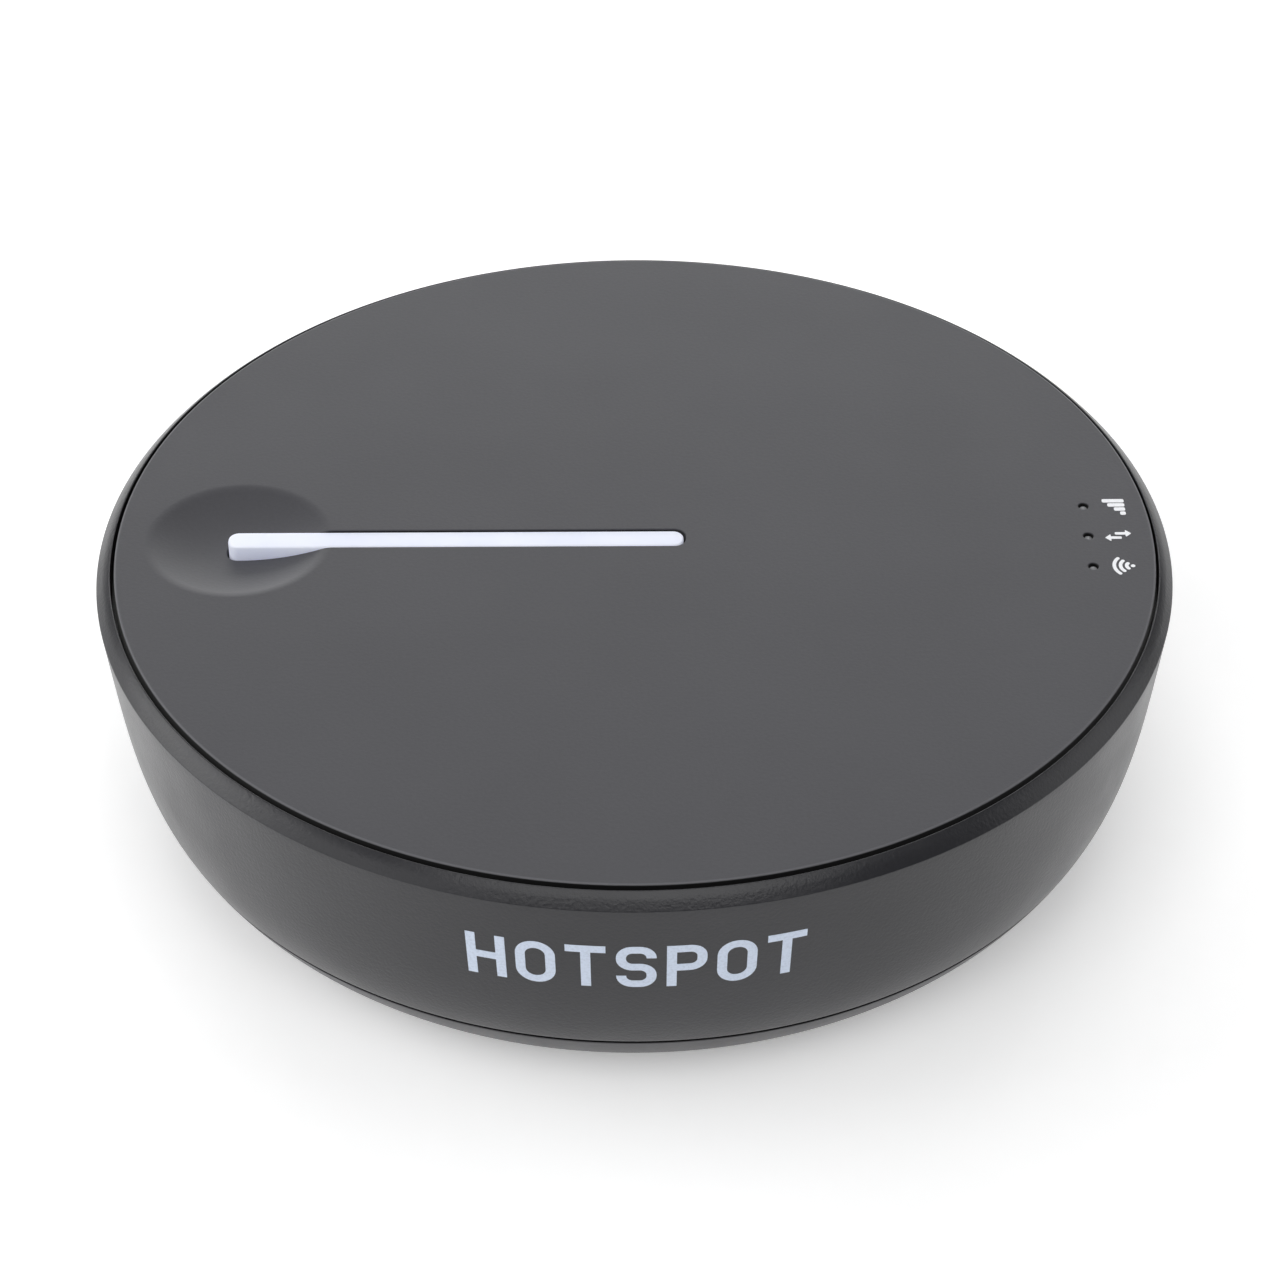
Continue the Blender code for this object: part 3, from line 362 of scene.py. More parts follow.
def piece(name, sheets, material, body="casing", replaces=(), sharp=38, gap_shade=None):
    """Welds sheets into one mesh, faces outwards, smooth but for edges over the sharp angle in degrees.

    The function given for the painted gap shade is from 0 on the open surface to 1 inside gaps and holes, and is
    kept as a point attribute named like the argument, which the materials turn into painted shade.
    """
    points = np.vstack([p for p, _ in sheets])
    faces, start = [], 0
    for p, f in sheets:
        faces += (f + start).tolist()
        start += len(p)
    mesh = bpy.data.meshes.new(name)
    mesh.from_pydata(points, [], faces)
    bm = bmesh.new()
    bm.from_mesh(mesh)
    bmesh.ops.remove_doubles(bm, verts=bm.verts, dist=WELD)
    bmesh.ops.dissolve_degenerate(bm, dist=NO_LENGTH, edges=bm.edges)
    unused = [vertex for vertex in bm.verts if not vertex.link_faces]
    bmesh.ops.delete(bm, geom=unused, context="VERTS")
    bmesh.ops.recalc_face_normals(bm, faces=bm.faces)
    bm.to_mesh(mesh)
    bm.free()
    mesh.shade_smooth()
    mesh.set_sharp_from_angle(angle=math.radians(sharp))
    mesh.materials.append(material)
    if gap_shade:
        at = np.empty(len(mesh.vertices) * 3, np.float32)
        mesh.vertices.foreach_get("co", at)
        share = np.clip(gap_shade(*at.reshape(-1, 3).T), 0, 1).astype(np.float32)
        mesh.attributes.new("gap_shade", "FLOAT", "POINT").data.foreach_set("value", share)
    obj = bpy.data.objects.new(name, mesh)
    bpy.context.scene.collection.objects.link(obj)
    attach(obj, body)
    if replaces:
        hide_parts(*replaces)
    return obj


# --- materials --------------------------------------------------------------------------------------------


def srgb(hex_colour):
    """An sRGB hex colour as linear red, green, blue and alpha."""
    channels = np.array([int(hex_colour[i : i + 2], 16) for i in (0, 2, 4)]) / 255
    linear = np.where(channels <= 0.04045, channels / 12.92, ((channels + 0.055) / 1.055) ** 2.4)
    return (*linear.tolist(), 1.0)


def add(tree, kind, inputs=None, out=0, **settings):
    """Adds a node with its settings and inputs, and returns one of its outputs.

    An input, by name or number, takes a plain value or another node's output, which is then linked to it.
    """
    made = tree.nodes.new("ShaderNode" + kind)
    for key, value in settings.items():
        setattr(made, key, value)
    for key, value in (inputs or {}).items():
        if isinstance(value, bpy.types.NodeSocket):
            tree.links.new(value, made.inputs[key])
        else:
            made.inputs[key].default_value = value
    return made.outputs[out]


# A Mix node that mixes colours: the numbers of its share and of its two colours, then its result and setting
SHARE, FIRST, SECOND = 0, 6, 7
OF_COLOURS = {"out": 2, "data_type": "RGBA"}
# Nearly all of a noise's values lie in this range, which a MapRange node stretches to the one that is wanted
NOISE_RANGE = {"From Min": 0.3, "From Max": 0.7}


def start_material(name, **sockets):
    """A new material whose shader has these sockets set: returns it, its tree and its object coordinates."""
    material = bpy.data.materials.new(name)
    material.use_nodes = True
    tree = material.node_tree
    for key, value in sockets.items():
        tree.nodes["Principled BSDF"].inputs[key.replace("_", " ")].default_value = value
    return material, tree, add(tree, "TexCoord", out="Object")


def join_shader(tree, colour, roughness=None, relief=None, depth=0.0):
    """Joins a material's patterns to its shader: its colour, its roughness and a relief depth metres high."""
    patterns = {"Base Color": colour, "Roughness": roughness}
    if relief is not None:
        patterns["Normal"] = add(tree, "Bump", {"Height": relief, "Distance": depth, "Strength": 1.0})
    for socket, pattern in patterns.items():
        if pattern is not None:
            tree.links.new(pattern, tree.nodes["Principled BSDF"].inputs[socket])


def patches(tree, place, size, low, high, detail=3, roughness=0.5):
    """Soft patches about size metres across, with values that drift from low to high."""
    drift = add(
        tree,
        "TexNoise",
        {"Vector": place, "Scale": 1 / size, "Detail": detail, "Roughness": roughness},
    )
    return add(tree, "MapRange", {**NOISE_RANGE, "Value": drift, "To Min": low, "To Max": high})


def distance_from_axis(tree, place, centre=(0, 0)):
    """The distance of a point from the upright axis through centre."""
    flat = add(
        tree,
        "VectorMath",
        {0: place, 1: (1, 1, 0), 2: (-centre[0], -centre[1], 0)},
        operation="MULTIPLY_ADD",
    )
    return add(tree, "VectorMath", {0: flat}, out="Value", operation="LENGTH")


def add_painted_gap_shade(tree, colour):
    """The colour on the open surface, and near-black painted shade where the gap-shade attribute is 1."""
    gap_shade = add(tree, "Attribute", out="Fac", attribute_name="gap_shade")
    return add(tree, "Mix", {SHARE: gap_shade, FIRST: colour, SECOND: srgb(GAP_SHADE_BLACK)}, **OF_COLOURS)


def moulded_plastic(
    name, dark, light, roughness, grain=0.28 * MM, depth=0.012 * MM, coat=0.0, painted=False
):
    """Injection-moulded plastic with a spark-eroded grain: fine speckle, faint cloudy flow, soft gloss.

    Real grain is about a tenth of a millimetre across. It is drawn coarser, so that it shows.
    """
    material, tree, place = start_material(name, Coat_Weight=coat, Specular_IOR_Level=0.45)
    speck = add(tree, "TexNoise", {"Vector": place, "Scale": 1 / grain, "Detail": 2, "Roughness": 0.6})
    flow = patches(tree, place, 14 * MM, 0.05, 0.5)
    share = add(tree, "Math", {0: speck, 1: 0.45, 2: flow}, operation="MULTIPLY_ADD")
    colour = add(tree, "Mix", {SHARE: share, FIRST: srgb(dark), SECOND: srgb(light)}, **OF_COLOURS)
    # painted adds the near-black painted shade in gaps and holes
    if painted:
        colour = add_painted_gap_shade(tree, colour)
    handled = patches(tree, place, 5 * MM, roughness - 0.03, roughness + 0.03)
    join_shader(tree, colour, handled, speck, depth)
    return material


def soft_touch_lid():
    """Soft-touch polyurethane paint on moulded ABS.

    The eye gets a dry, powdery charcoal with hardly any gloss, faintly cloudy where fingers have been, with a
    thin paler line on the lid's outer edge that is a painted highlight, and painted shade in the gap and holes.
    """
    material, tree, place = start_material(
        "soft_touch_paint_on_abs_lid", Specular_IOR_Level=0.35, Sheen_Weight=0.12, Sheen_Roughness=0.5
    )
    speck = add(tree, "TexNoise", {"Vector": place, "Scale": 1 / (0.3 * MM), "Detail": 2, "Roughness": 0.6})
    cloud = patches(tree, place, 18 * MM, 0.22, 0.38, 4, 0.55)
    share = add(tree, "Math", {0: speck, 1: 0.4, 2: cloud}, operation="MULTIPLY_ADD")
    paint = add(tree, "Mix", {SHARE: share, FIRST: srgb("39393D"), SECOND: srgb("4B4B50")}, **OF_COLOURS)
    # Painted highlight: a paler band on the lid's outer edge, where its rounding meets the light
    edge = add(
        tree,
        "MapRange",
        {
            "Value": distance_from_axis(tree, place, LID_OFFSET),
            "From Min": COVER_RADIUS - 0.22 * MM,
            "From Max": COVER_RADIUS - 0.08 * MM,
            "To Max": 0.8,
        },
    )
    painted_edge_highlight = add(tree, "Mix", {SHARE: edge, FIRST: paint, SECOND: srgb("6E6E72")}, **OF_COLOURS)
    handled = patches(tree, place, 7 * MM, 0.54, 0.565, 4)
    join_shader(tree, add_painted_gap_shade(tree, painted_edge_highlight), handled, speck, 0.01 * MM)
    return material


def rolled_metal(name, dark, light, roughness, grain=0.12 * MM, stretch=14.0, depth=0.004 * MM):
    """Cold-rolled sheet metal: fine lines along X from the rollers, with faint handling marks."""
    material, tree, place = start_material(name, Metallic=1.0)
    along = add(tree, "Mapping", {"Vector": place, "Scale": (1 / stretch, 1, 1)})
    lines = add(tree, "TexNoise", {"Vector": along, "Scale": 1 / grain, "Detail": 3, "Roughness": 0.6})
    colour = add(tree, "Mix", {SHARE: lines, FIRST: srgb(dark), SECOND: srgb(light)}, **OF_COLOURS)
    marks = patches(tree, place, 3 * MM, roughness - 0.07, roughness + 0.1, 4)
    join_shader(tree, colour, marks, lines, depth)
    return material


def coated_board():
    """Green solder mask over etched copper on glass-epoxy: paler tracks in a square weave, satin gloss."""
    material, tree, place = start_material("solder_mask_on_glass_epoxy", Coat_Weight=0.3)
    tracks = add(
        tree,
        "TexBrick",
        {
            "Vector": place,
            "Scale": 1 / (2.6 * MM),
            "Mortar Size": 0.05,
            "Color1": srgb("1B4630"),
            "Color2": srgb("1F4D36"),
            "Mortar": srgb("2F6B49"),
        },
        offset=0.37,
        squash=0.6,
    )
    weave = add(tree, "TexNoise", {"Vector": place, "Scale": 1 / (0.5 * MM)})
    shade = add(tree, "MapRange", {**NOISE_RANGE, "Value": weave, "To Max": 0.3})
    colour = add(tree, "Mix", {SHARE: shade, FIRST: tracks, SECOND: srgb("123524")}, **OF_COLOURS)
    gloss = add(tree, "MapRange", {**NOISE_RANGE, "Value": weave, "To Min": 0.35, "To Max": 0.5})
    join_shader(tree, colour, gloss, tracks.node.outputs["Fac"], 0.02 * MM)
    return material


def open_foam(name, dark, light, cell):
    """Cut polyurethane foam: small dark cells between paler walls, quite without gloss."""
    material, tree, place = start_material(name, Roughness=0.95, Specular_IOR_Level=0.2)
    inward = add(tree, "TexVoronoi", {"Vector": place, "Scale": 1 / cell}, feature="DISTANCE_TO_EDGE")
    walls = add(
        tree,
        "MapRange",
        {"Value": inward, "From Min": 0.02, "From Max": 0.25, "To Min": 1, "To Max": 0},
    )
    colour = add(tree, "Mix", {SHARE: walls, FIRST: srgb(dark), SECOND: srgb(light)}, **OF_COLOURS)
    join_shader(tree, colour, relief=walls, depth=0.08 * MM)
    return material


def moulded_silicone_foot():
    """Black silicone rubber, moulded: matt, with a bloom of paler dust in its fine grain."""
    material, tree, place = start_material(
        "moulded_silicone_rubber_foot", Specular_IOR_Level=0.3, Sheen_Weight=0.1
    )
    dust = add(
        tree,
        "TexNoise",
        {"Vector": place, "Scale": 1 / (2.2 * MM), "Detail": 5, "Roughness": 0.65},
    )
    bloom = add(tree, "MapRange", {**NOISE_RANGE, "Value": dust, "To Max": 0.6})
    colour = add(tree, "Mix", {SHARE: bloom, FIRST: srgb("1D1D1F"), SECOND: srgb("333336")}, **OF_COLOURS)
    gloss = add(tree, "MapRange", {**NOISE_RANGE, "Value": dust, "To Min": 0.7, "To Max": 0.85})
    grain = add(tree, "TexNoise", {"Vector": place, "Scale": 1 / (0.22 * MM)})
    join_shader(tree, colour, gloss, grain, 0.02 * MM)
    return material


def printed_ink(name, ink, shade):
    """Pad-printed ink: flat colour, thinner and greyer in tiny patches where the plastic's grain shows."""
    material, tree, place = start_material(name, Specular_IOR_Level=0.4)
    film = add(tree, "TexNoise", {"Vector": place, "Scale": 1 / (0.2 * MM), "Detail": 3})
    thin = add(tree, "MapRange", {"Value": film, "From Min": 0.45, "From Max": 0.75, "To Max": 0.35})
    colour = add(tree, "Mix", {SHARE: thin, FIRST: srgb(ink), SECOND: srgb(shade)}, **OF_COLOURS)
    gloss = add(tree, "MapRange", {**NOISE_RANGE, "Value": film, "To Min": 0.4, "To Max": 0.55})
    join_shader(tree, colour, gloss, film, 0.004 * MM)
    return material


def white_bar_plastic():
    """Opal polycarbonate, moulded satin, with a painted glow.

    The eye gets a cool white with a little light in its depth, and a faint bluish painted glow that makes it
    brighter and bluer than the light that falls on it.
    """
    material, tree, place = start_material(
        "satin_opal_polycarbonate_bar_with_painted_glow",
        Subsurface_Weight=0.7,
        Subsurface_Radius=(1, 1, 1),
        Subsurface_Scale=1.2 * MM,
        # Painted glow: a faint bluish emission that makes the bar brighter than its light
        Emission_Color=srgb("E6E8FF"),
        Emission_Strength=0.2,
    )
    cloud = patches(tree, place, 6 * MM, 0, 1)
    colour = add(tree, "Mix", {SHARE: cloud, FIRST: srgb("D9DEEF"), SECOND: srgb("E3E8F5")}, **OF_COLOURS)
    speck = add(tree, "TexNoise", {"Vector": place, "Scale": 1 / (0.25 * MM)})
    gloss = add(tree, "MapRange", {**NOISE_RANGE, "Value": speck, "To Min": 0.34, "To Max": 0.44})
    join_shader(tree, colour, gloss, speck, 0.003 * MM)
    return material


def smoked_guide():
    """Smoked acrylic light guide: dark and glossy until its light is on, with a hazy moulded core."""
    material, tree, place = start_material("smoked_acrylic_light_guide", IOR=1.49)
    haze = add(tree, "TexNoise", {"Vector": place, "Scale": 1 / (0.4 * MM), "Detail": 3})
    colour = add(tree, "Mix", {SHARE: haze, FIRST: srgb("7A7B7E"), SECOND: srgb("98999C")}, **OF_COLOURS)
    gloss = add(tree, "MapRange", {**NOISE_RANGE, "Value": haze, "To Min": 0.25, "To Max": 0.4})
    join_shader(tree, colour, gloss)
    return material


def pouch_foil():
    """Aluminium-laminate battery pouch: silver, softly creased, with a satin plastic face."""
    material, tree, place = start_material("aluminium_laminate_pouch", Metallic=0.85)
    creases = add(
        tree,
        "TexVoronoi",
        {"Vector": place, "Scale": 1 / (7 * MM), "Smoothness": 0.8},
        feature="SMOOTH_F1",
    )
    fine = add(tree, "TexNoise", {"Vector": place, "Scale": 1 / (0.6 * MM), "Detail": 3})
    colour = add(tree, "Mix", {SHARE: fine, FIRST: srgb("9DA0A4"), SECOND: srgb("B4B7BB")}, **OF_COLOURS)
    gloss = add(tree, "MapRange", {**NOISE_RANGE, "Value": fine, "To Min": 0.3, "To Max": 0.42})
    join_shader(tree, colour, gloss, creases, 0.25 * MM)
    return material


def blank_label():
    """Printed polyester film: matt charcoal, blank but for a thin paler ring inside its edge."""
    material, tree, place = start_material("printed_polyester_label")
    ring = add(
        tree,
        "Math",
        {0: distance_from_axis(tree, place), 1: LABEL_HIGH.x - 1.2 * MM, 2: 0.12 * MM},
        operation="COMPARE",
    )
    fibre = add(tree, "TexNoise", {"Vector": place, "Scale": 1 / (0.35 * MM), "Detail": 3})
    film = add(tree, "Mix", {SHARE: fibre, FIRST: srgb("36363A"), SECOND: srgb("404044")}, **OF_COLOURS)
    colour = add(tree, "Mix", {SHARE: ring, FIRST: film, SECOND: srgb("8E8E92")}, **OF_COLOURS)
    gloss = add(tree, "MapRange", {**NOISE_RANGE, "Value": fibre, "To Min": 0.42, "To Max": 0.55})
    join_shader(tree, colour, gloss, fibre, 0.006 * MM)
    return material


LID_PAINT = soft_touch_lid()
# Spark-eroded ABS: darker and glossier than the painted lid, and a little paler and drier on the base
# Both get near-black painted shade in their gaps and holes
SHELL_ABS = moulded_plastic(
    "spark_eroded_abs_shell", "212124", "313135", 0.32, depth=0.024 * MM, painted=True
)
BASE_ABS = moulded_plastic("spark_eroded_abs_base", "343337", "444346", 0.38, painted=True)
BAR_WHITE = white_bar_plastic()
GUIDE_SMOKE = smoked_guide()
ICON_INK = printed_ink("pad_printed_white_ink", "FBFCFF", "DDE2EA")
WORD_INK = printed_ink("pad_printed_cool_white_ink", "D3DEF0", "A2ABBB")
FOOT_SILICONE = moulded_silicone_foot()
LABEL_FILM = blank_label()
# Tinned spring steel of the socket: pale, with roller lines and a soft gloss
SOCKET_TIN = rolled_metal("tinned_deep_drawn_steel", "A4A6A9", "C6C8CA", 0.28)
TONGUE_RESIN = moulded_plastic("glass_filled_nylon_tongue", "141416", "222225", 0.45, 0.15 * MM)
CONTACT_GOLD = rolled_metal("hard_gold_plate", "B98F3C", "E2BE6C", 0.25, 0.08 * MM)

# The finish of each CAD slot, for the pieces that keep their CAD mesh
SLOT_FINISHES = {
    "soft_touch_charcoal": LID_PAINT,
    "shell_charcoal": SHELL_ABS,
    "white_bar": BAR_WHITE,
    "foot_rubber": FOOT_SILICONE,
    "label_film": LABEL_FILM,
    "chassis_black": moulded_plastic("glass_filled_nylon_chassis", "18181A", "28282B", 0.6, 0.4 * MM),
    "board_green": coated_board(),
    "tinned_steel": SOCKET_TIN,
    "screw_steel": rolled_metal("nickel_plated_screw_steel", "7F8285", "A1A4A7", 0.3, 0.1 * MM, 2),
    "aluminium_sheet": rolled_metal("mill_finish_aluminium", "B4B6B8", "D2D4D6", 0.33),
    "gold_contact": CONTACT_GOLD,
    "battery_pouch": pouch_foil(),
    "clear_guide": GUIDE_SMOKE,
    "led_package": moulded_plastic("ceramic_light_package", "E6E2CF", "F6F3E6", 0.35, 0.1 * MM),
    "black_resin": TONGUE_RESIN,
    "foam_grey": open_foam("cut_polyurethane_foam", "3D3E40", "67686B", 0.9 * MM),
    "thermal_pad_blue": open_foam("cast_silicone_gap_pad", "8093A8", "93A7BC", 0.4 * MM),
    "lead_red": moulded_plastic("extruded_red_silicone", "8E1A16", "B32A24", 0.4, 0.3 * MM),
    "lead_black": moulded_plastic("extruded_black_silicone", "101012", "1E1E20", 0.4, 0.3 * MM),
    "flex_amber": moulded_plastic("polyimide_foil", "8A5C22", "A87432", 0.3, 0.5 * MM, coat=0.4),
    "connector_ivory": moulded_plastic("moulded_ivory_nylon", "CFC9B6", "E2DDCD", 0.5, 0.2 * MM),
}


def finish_cad_nodes():
    """Gives every CAD node the finish of its record slot."""
    slots = {part["node"]: part["material_slot"] for part in frame["record"]["subparts"]}
    for name, obj in frame["nodes"].items():
        obj.data.materials.clear()
        obj.data.materials.append(SLOT_FINISHES[slots[name]])


# --- lid --------------------------------------------------------------------------------------------------


def lid_drop(x, y):
    """How far the lid lies below its flat: a spherical cap in the dish, eased into the flat.

    The cap is c = sqrt(S^2 - r^2) - (S - depth) at r from the dish's centre, with S the sphere's radius.
    Within the blend k of zero it becomes (c + k)^2 / 4k, and outside that it is nothing.
    """
    sphere = (DISH_RADIUS**2 + DISH_DEPTH**2) / (2 * DISH_DEPTH)
    r = np.hypot(x - DISH_CENTRE[0], y - DISH_CENTRE[1])
    cap = np.sqrt(np.maximum(sphere**2 - r**2, 0)) - (sphere - DISH_DEPTH)
    eased = (np.clip(cap, -DISH_BLEND, DISH_BLEND) + DISH_BLEND) ** 2 / (4 * DISH_BLEND)
    return np.where(cap > DISH_BLEND, cap, eased)


def lid_height(x, y):
    """The height of the lid's upper face."""
    return TOP - lid_drop(x, y)


def slot_outline():
    """The slot in the lid that the power bar shows through, as points and outward normals."""
    width = BAR_RIGHT - BAR_LEFT + 2 * SLOT_END_GAP
    height = BAR_WIDTH + 2 * SLOT_SIDE_GAP
    centre = ((BAR_LEFT + BAR_RIGHT) / 2, BAR_Y)
    return rounded_box(width, height, BAR_CORNER + SLOT_SIDE_GAP, centre, 14, spacing=0.3 * MM)


def light_places():
    """The middles of the three light holes, in a row along Y from the back to the front."""
    return [(LIGHT_X, (1 - i) * LIGHT_PITCH) for i in range(3)]


def hole_through_lid(points, normals, edge, underside):
    """The lip and wall of a hole: a quarter round that follows the lid's height, then straight down.

    A ring just below the lip keeps the lid's colour on the lip and the near-black painted shade of the gap under
    it.
    """
    below_lip = edge + 0.06 * MM
    rings = []
    for inset, drop in ((edge + HOLE_BORDER, 0.0), *rounding(edge, 5), (0.0, below_lip)):
        at = points + inset * normals
        rings.append(np.column_stack((at, lid_height(*at.T) - drop)))
    rings.append(np.column_stack((points, np.full(len(points), underside))))
    return lofted(rings)


def dish_lattice(slot_loop):
    """Points on rings about the dish's centre, closer where the dish meets the flat, outside the slot."""
    blend, wide_step = 0.75 * MM, 0.15 * MM
    inner = np.linspace(0.35 * MM, DISH_RADIUS - blend - wide_step, 26)
    edge = np.linspace(DISH_RADIUS - blend, DISH_RADIUS + blend, 18)
    points = np.vstack([circle(radius, 160, DISH_CENTRE)[0] for radius in (*inner, *edge)])
    return points[~inside(points, slot_loop)]


def make_lid():
    """The lid: a flat disc with the dish in its height, a slot and three holes, and a pad under the dish.

    Its top is one sheet of triangles at the lid's height. The outer edge is a small quarter round, so that it
    catches a thin line of light beside the gap. The gap's walls are black with painted shade.
    """
    inset_below, clear = 0.1 * MM, 0.1 * MM
    rim, rim_normal = circle(COVER_RADIUS, WALL_COLUMNS, LID_OFFSET)
    slot, slot_normal = slot_outline()
    holes = [circle(LIGHT_HOLE_RADIUS, 40, at) for at in light_places()]
    slot_top = slot + (SLOT_EDGE + HOLE_BORDER) * slot_normal
    hole_tops = [points + (LIGHT_HOLE_EDGE + HOLE_BORDER) * normal for points, normal in holes]
    rim_top = rim - (LID_EDGE + LID_BORDER) * rim_normal
    clear_of_slot = slot_top + clear * slot_normal
    sheets = [
        filled([rim_top, slot_top, *hole_tops], lid_height, inner=dish_lattice(clear_of_slot)),
        carried(
            rim,
            rim_normal,
            [
                (-LID_EDGE - LID_BORDER, TOP),
                *[(-inset, TOP - drop) for inset, drop in rounding(LID_EDGE, 5)],
                (0, COVER_UNDERSIDE + inset_below),
                (-inset_below, COVER_UNDERSIDE),
            ],
        ),
        hole_through_lid(slot, slot_normal, SLOT_EDGE, DISH_PAD_UNDERSIDE),
    ]
    sheets += [hole_through_lid(p, n, LIGHT_HOLE_EDGE, COVER_UNDERSIDE) for p, n in holes]
    collar, collar_normal = keyhole(
        DISH_CENTRE, DISH_PAD_RADIUS, COLLAR_HALF_WIDTH, BAR_RIGHT + COLLAR_PAST_BAR, COLLAR_CORNER
    )
    sheets += [
        filled([collar, slot], DISH_PAD_UNDERSIDE, up=False),
        carried(collar, collar_normal, [(0, COVER_UNDERSIDE), (0, DISH_PAD_UNDERSIDE)]),
        filled(
            [rim - inset_below * rim_normal, collar, *[p for p, _ in holes]], COVER_UNDERSIDE, up=False
        ),
    ]
    sheets += lid_hooks() + pin_ears()
    return piece(
        "lid_moulding",
        sheets,
        LID_PAINT,
        replaces=["top_cover"],
        # Painted shade, near black, on every face more than 0.05 mm below the lid's top: the walls of the gap,
        # slot and holes, and the underside
        gap_shade=lambda x, y, z: (lid_height(x, y) - z - 0.05 * MM) / (0.06 * MM),
    )


def lid_hooks():
    """Four snap hooks: each a stem that hangs inside the ledge and a nose under it, as rounded blocks."""
    corner, edge, into_lid, below_ledge = 0.2 * MM, 0.1 * MM, 0.2 * MM, 0.3 * MM
    stem = rounded_box(1.0 * MM, 5.0 * MM, corner, (38.4 * MM, 0), 4)
    nose = rounded_box(1.2 * MM, 4.4 * MM, corner, (39.0 * MM, 0), 4)
    hook = slab(*stem, 18.2 * MM, COVER_UNDERSIDE + into_lid, edge)
    hook += slab(*nose, 18.3 * MM, LEDGE_UNDERSIDE - below_ledge, edge)
    sheets = []
    for degrees in HOOK_ANGLES:
        turn = math.radians(degrees)

        def turned_about_axis(x, y, z, turn=turn):
            """(x, y) turned by the hook's angle about the casing's axis."""
            return (
                x * math.cos(turn) - y * math.sin(turn),
                x * math.sin(turn) + y * math.cos(turn),
                z,
            )

        sheets += moved(hook, turned_about_axis)
    return sheets


def pin_ears():
    """Two ears under the lid for the bar's pin: each a plate along Y with a round bore through it."""
    width, corner = 2.6 * MM, 0.6 * MM
    neck_low, into_lid = 1.1 * MM, 0.2 * MM
    outline, _ = rounded_box(width, width, corner, corner_steps=8)
    count = len(outline)
    bore, _ = circle(PIN_BORE, count)
    nearest = np.argmin(np.hypot(*(bore - outline[0] / np.linalg.norm(outline[0]) * PIN_BORE).T))
    bore = np.roll(bore, -int(nearest), axis=0)
    sheets = []
    for side in (-1, 1):
        near, far = side * 2.5 * MM, side * 3.7 * MM
        rings = [
            np.column_stack((HINGE.x + ring[:, 0], np.full(count, y), HINGE.z + ring[:, 1]))
            for ring, y in ((bore, near), (outline, near), (outline, far), (bore, far), (bore, near))
        ]
        sheets.append(lofted(rings))
        neck = rounded_box(width, abs(far - near), 0.2 * MM, (HINGE.x, (near + far) / 2), 4)
        sheets += slab(*neck, HINGE.z + neck_low, COVER_UNDERSIDE + into_lid)
    return sheets


# --- shell ------------------------------------------------------------------------------------------------


def side_radius(z):
    """The casing's outer radius at height z: a straight draft and a tuck that grows as depth^5."""
    depth = SHOULDER_Z - z
    return BODY_RADIUS - DRAFT * depth - TUCK * (depth / TUCK_DEPTH) ** TUCK_POWER


def inner_radius(z):
    """The radius of the wall's inner face at height z."""
    return side_radius(z) - WALL


def along_outline(points, share):
    """Points at shares of the way round a closed outline, by its length."""
    closed = np.vstack((points, points[:1]))
    length = np.concatenate(([0], np.cumsum(np.linalg.norm(np.diff(closed, axis=0), axis=1))))
    return np.column_stack([np.interp(share * length[-1], length, closed[:, k]) for k in (0, 1)])


def on_round_wall(radius_of, flat, turn, middle_z, drop=0.0):
    """Puts (arc, height) on the wall r(z): the angle from +Y is turn + arc / r(middle height)."""
    angle = flat[..., 0] / radius_of(middle_z) + turn
    radius = radius_of(flat[..., 1]) - drop
    return np.stack((radius * np.sin(angle), radius * np.cos(angle), flat[..., 1]), axis=-1)


def window_frame(columns, rows, turn, radius_of, outline, middle_z, rings=9, crowding=1.6):
    """The stretch of curved wall between a hole and a rectangle of the wall's own grid.

    The rectangle's grid points, from the middle of its right side and anticlockwise, are a share of the way
    round it. The hole's point at the same share is joined to each by a straight line in (arc, height), which
    is then put on the wall r(z). Rings crowd towards the hole. Also returns the shares and the hole's points.
    """
    arc = (columns - turn) * radius_of(middle_z)
    half = len(rows) // 2
    loop = [(arc[-1], z) for z in rows[half:]]
    loop += [(a, rows[-1]) for a in arc[-2:0:-1]]
    loop += [(arc[0], z) for z in rows[::-1]]
    loop += [(a, rows[0]) for a in arc[1:-1]]
    loop += [(arc[-1], z) for z in rows[:half]]
    loop = np.array(loop)
    step = np.linalg.norm(np.diff(np.vstack((loop, loop[:1])), axis=0), axis=1)
    share = np.concatenate(([0], np.cumsum(step)[:-1])) / step.sum()
    edge = along_outline(outline, share)
    weight = (np.linspace(0, 1, rings) ** crowding)[:, None, None]
    flat = edge * (1 - weight) + loop * weight
    return lofted(on_round_wall(radius_of, flat, turn, middle_z)), share, edge


def walled_hole(turn, outline_at, share, edge, middle_z):
    """The lip and tube of a hole through the wall, bored straight in towards the axis.

    outline_at(g) is the hole's outline grown by g, in (arc, height). The lip is a quarter round from the
    outer wall, and the tube runs on to the inner wall. Also returns the flat points where it ends.
    """
    rings = [
        on_round_wall(side_radius, along_outline(outline_at(grow), share), turn, middle_z, drop)
        for grow, drop in rounding(edge, 5)
    ]
    end = along_outline(outline_at(0), share)
    rings.append(on_round_wall(inner_radius, end, turn, middle_z))
    return lofted(rings), end


def wall_sheet(radius_of, rows, windows):
    """A wall r(z) on a grid of every column and row, without the quads inside each window."""
    angle = np.arange(WALL_COLUMNS) * TAU / WALL_COLUMNS
    radius = radius_of(rows)[:, None]
    rings = np.empty((len(rows), WALL_COLUMNS, 3))
    rings[..., 0] = radius * np.sin(angle)
    rings[..., 1] = radius * np.cos(angle)
    rings[..., 2] = rows[:, None]
    points, faces = lofted(rings)
    row, column = np.divmod(faces[:, 0], WALL_COLUMNS)
    keep = np.ones(len(faces), bool)
    for first_column, last_column, first_row, last_row in windows:
        from_first = (column - first_column) % WALL_COLUMNS
        within = from_first < (last_column - first_column)
        keep &= ~(within & (row >= first_row) & (row < last_row))
    return points, faces[keep]


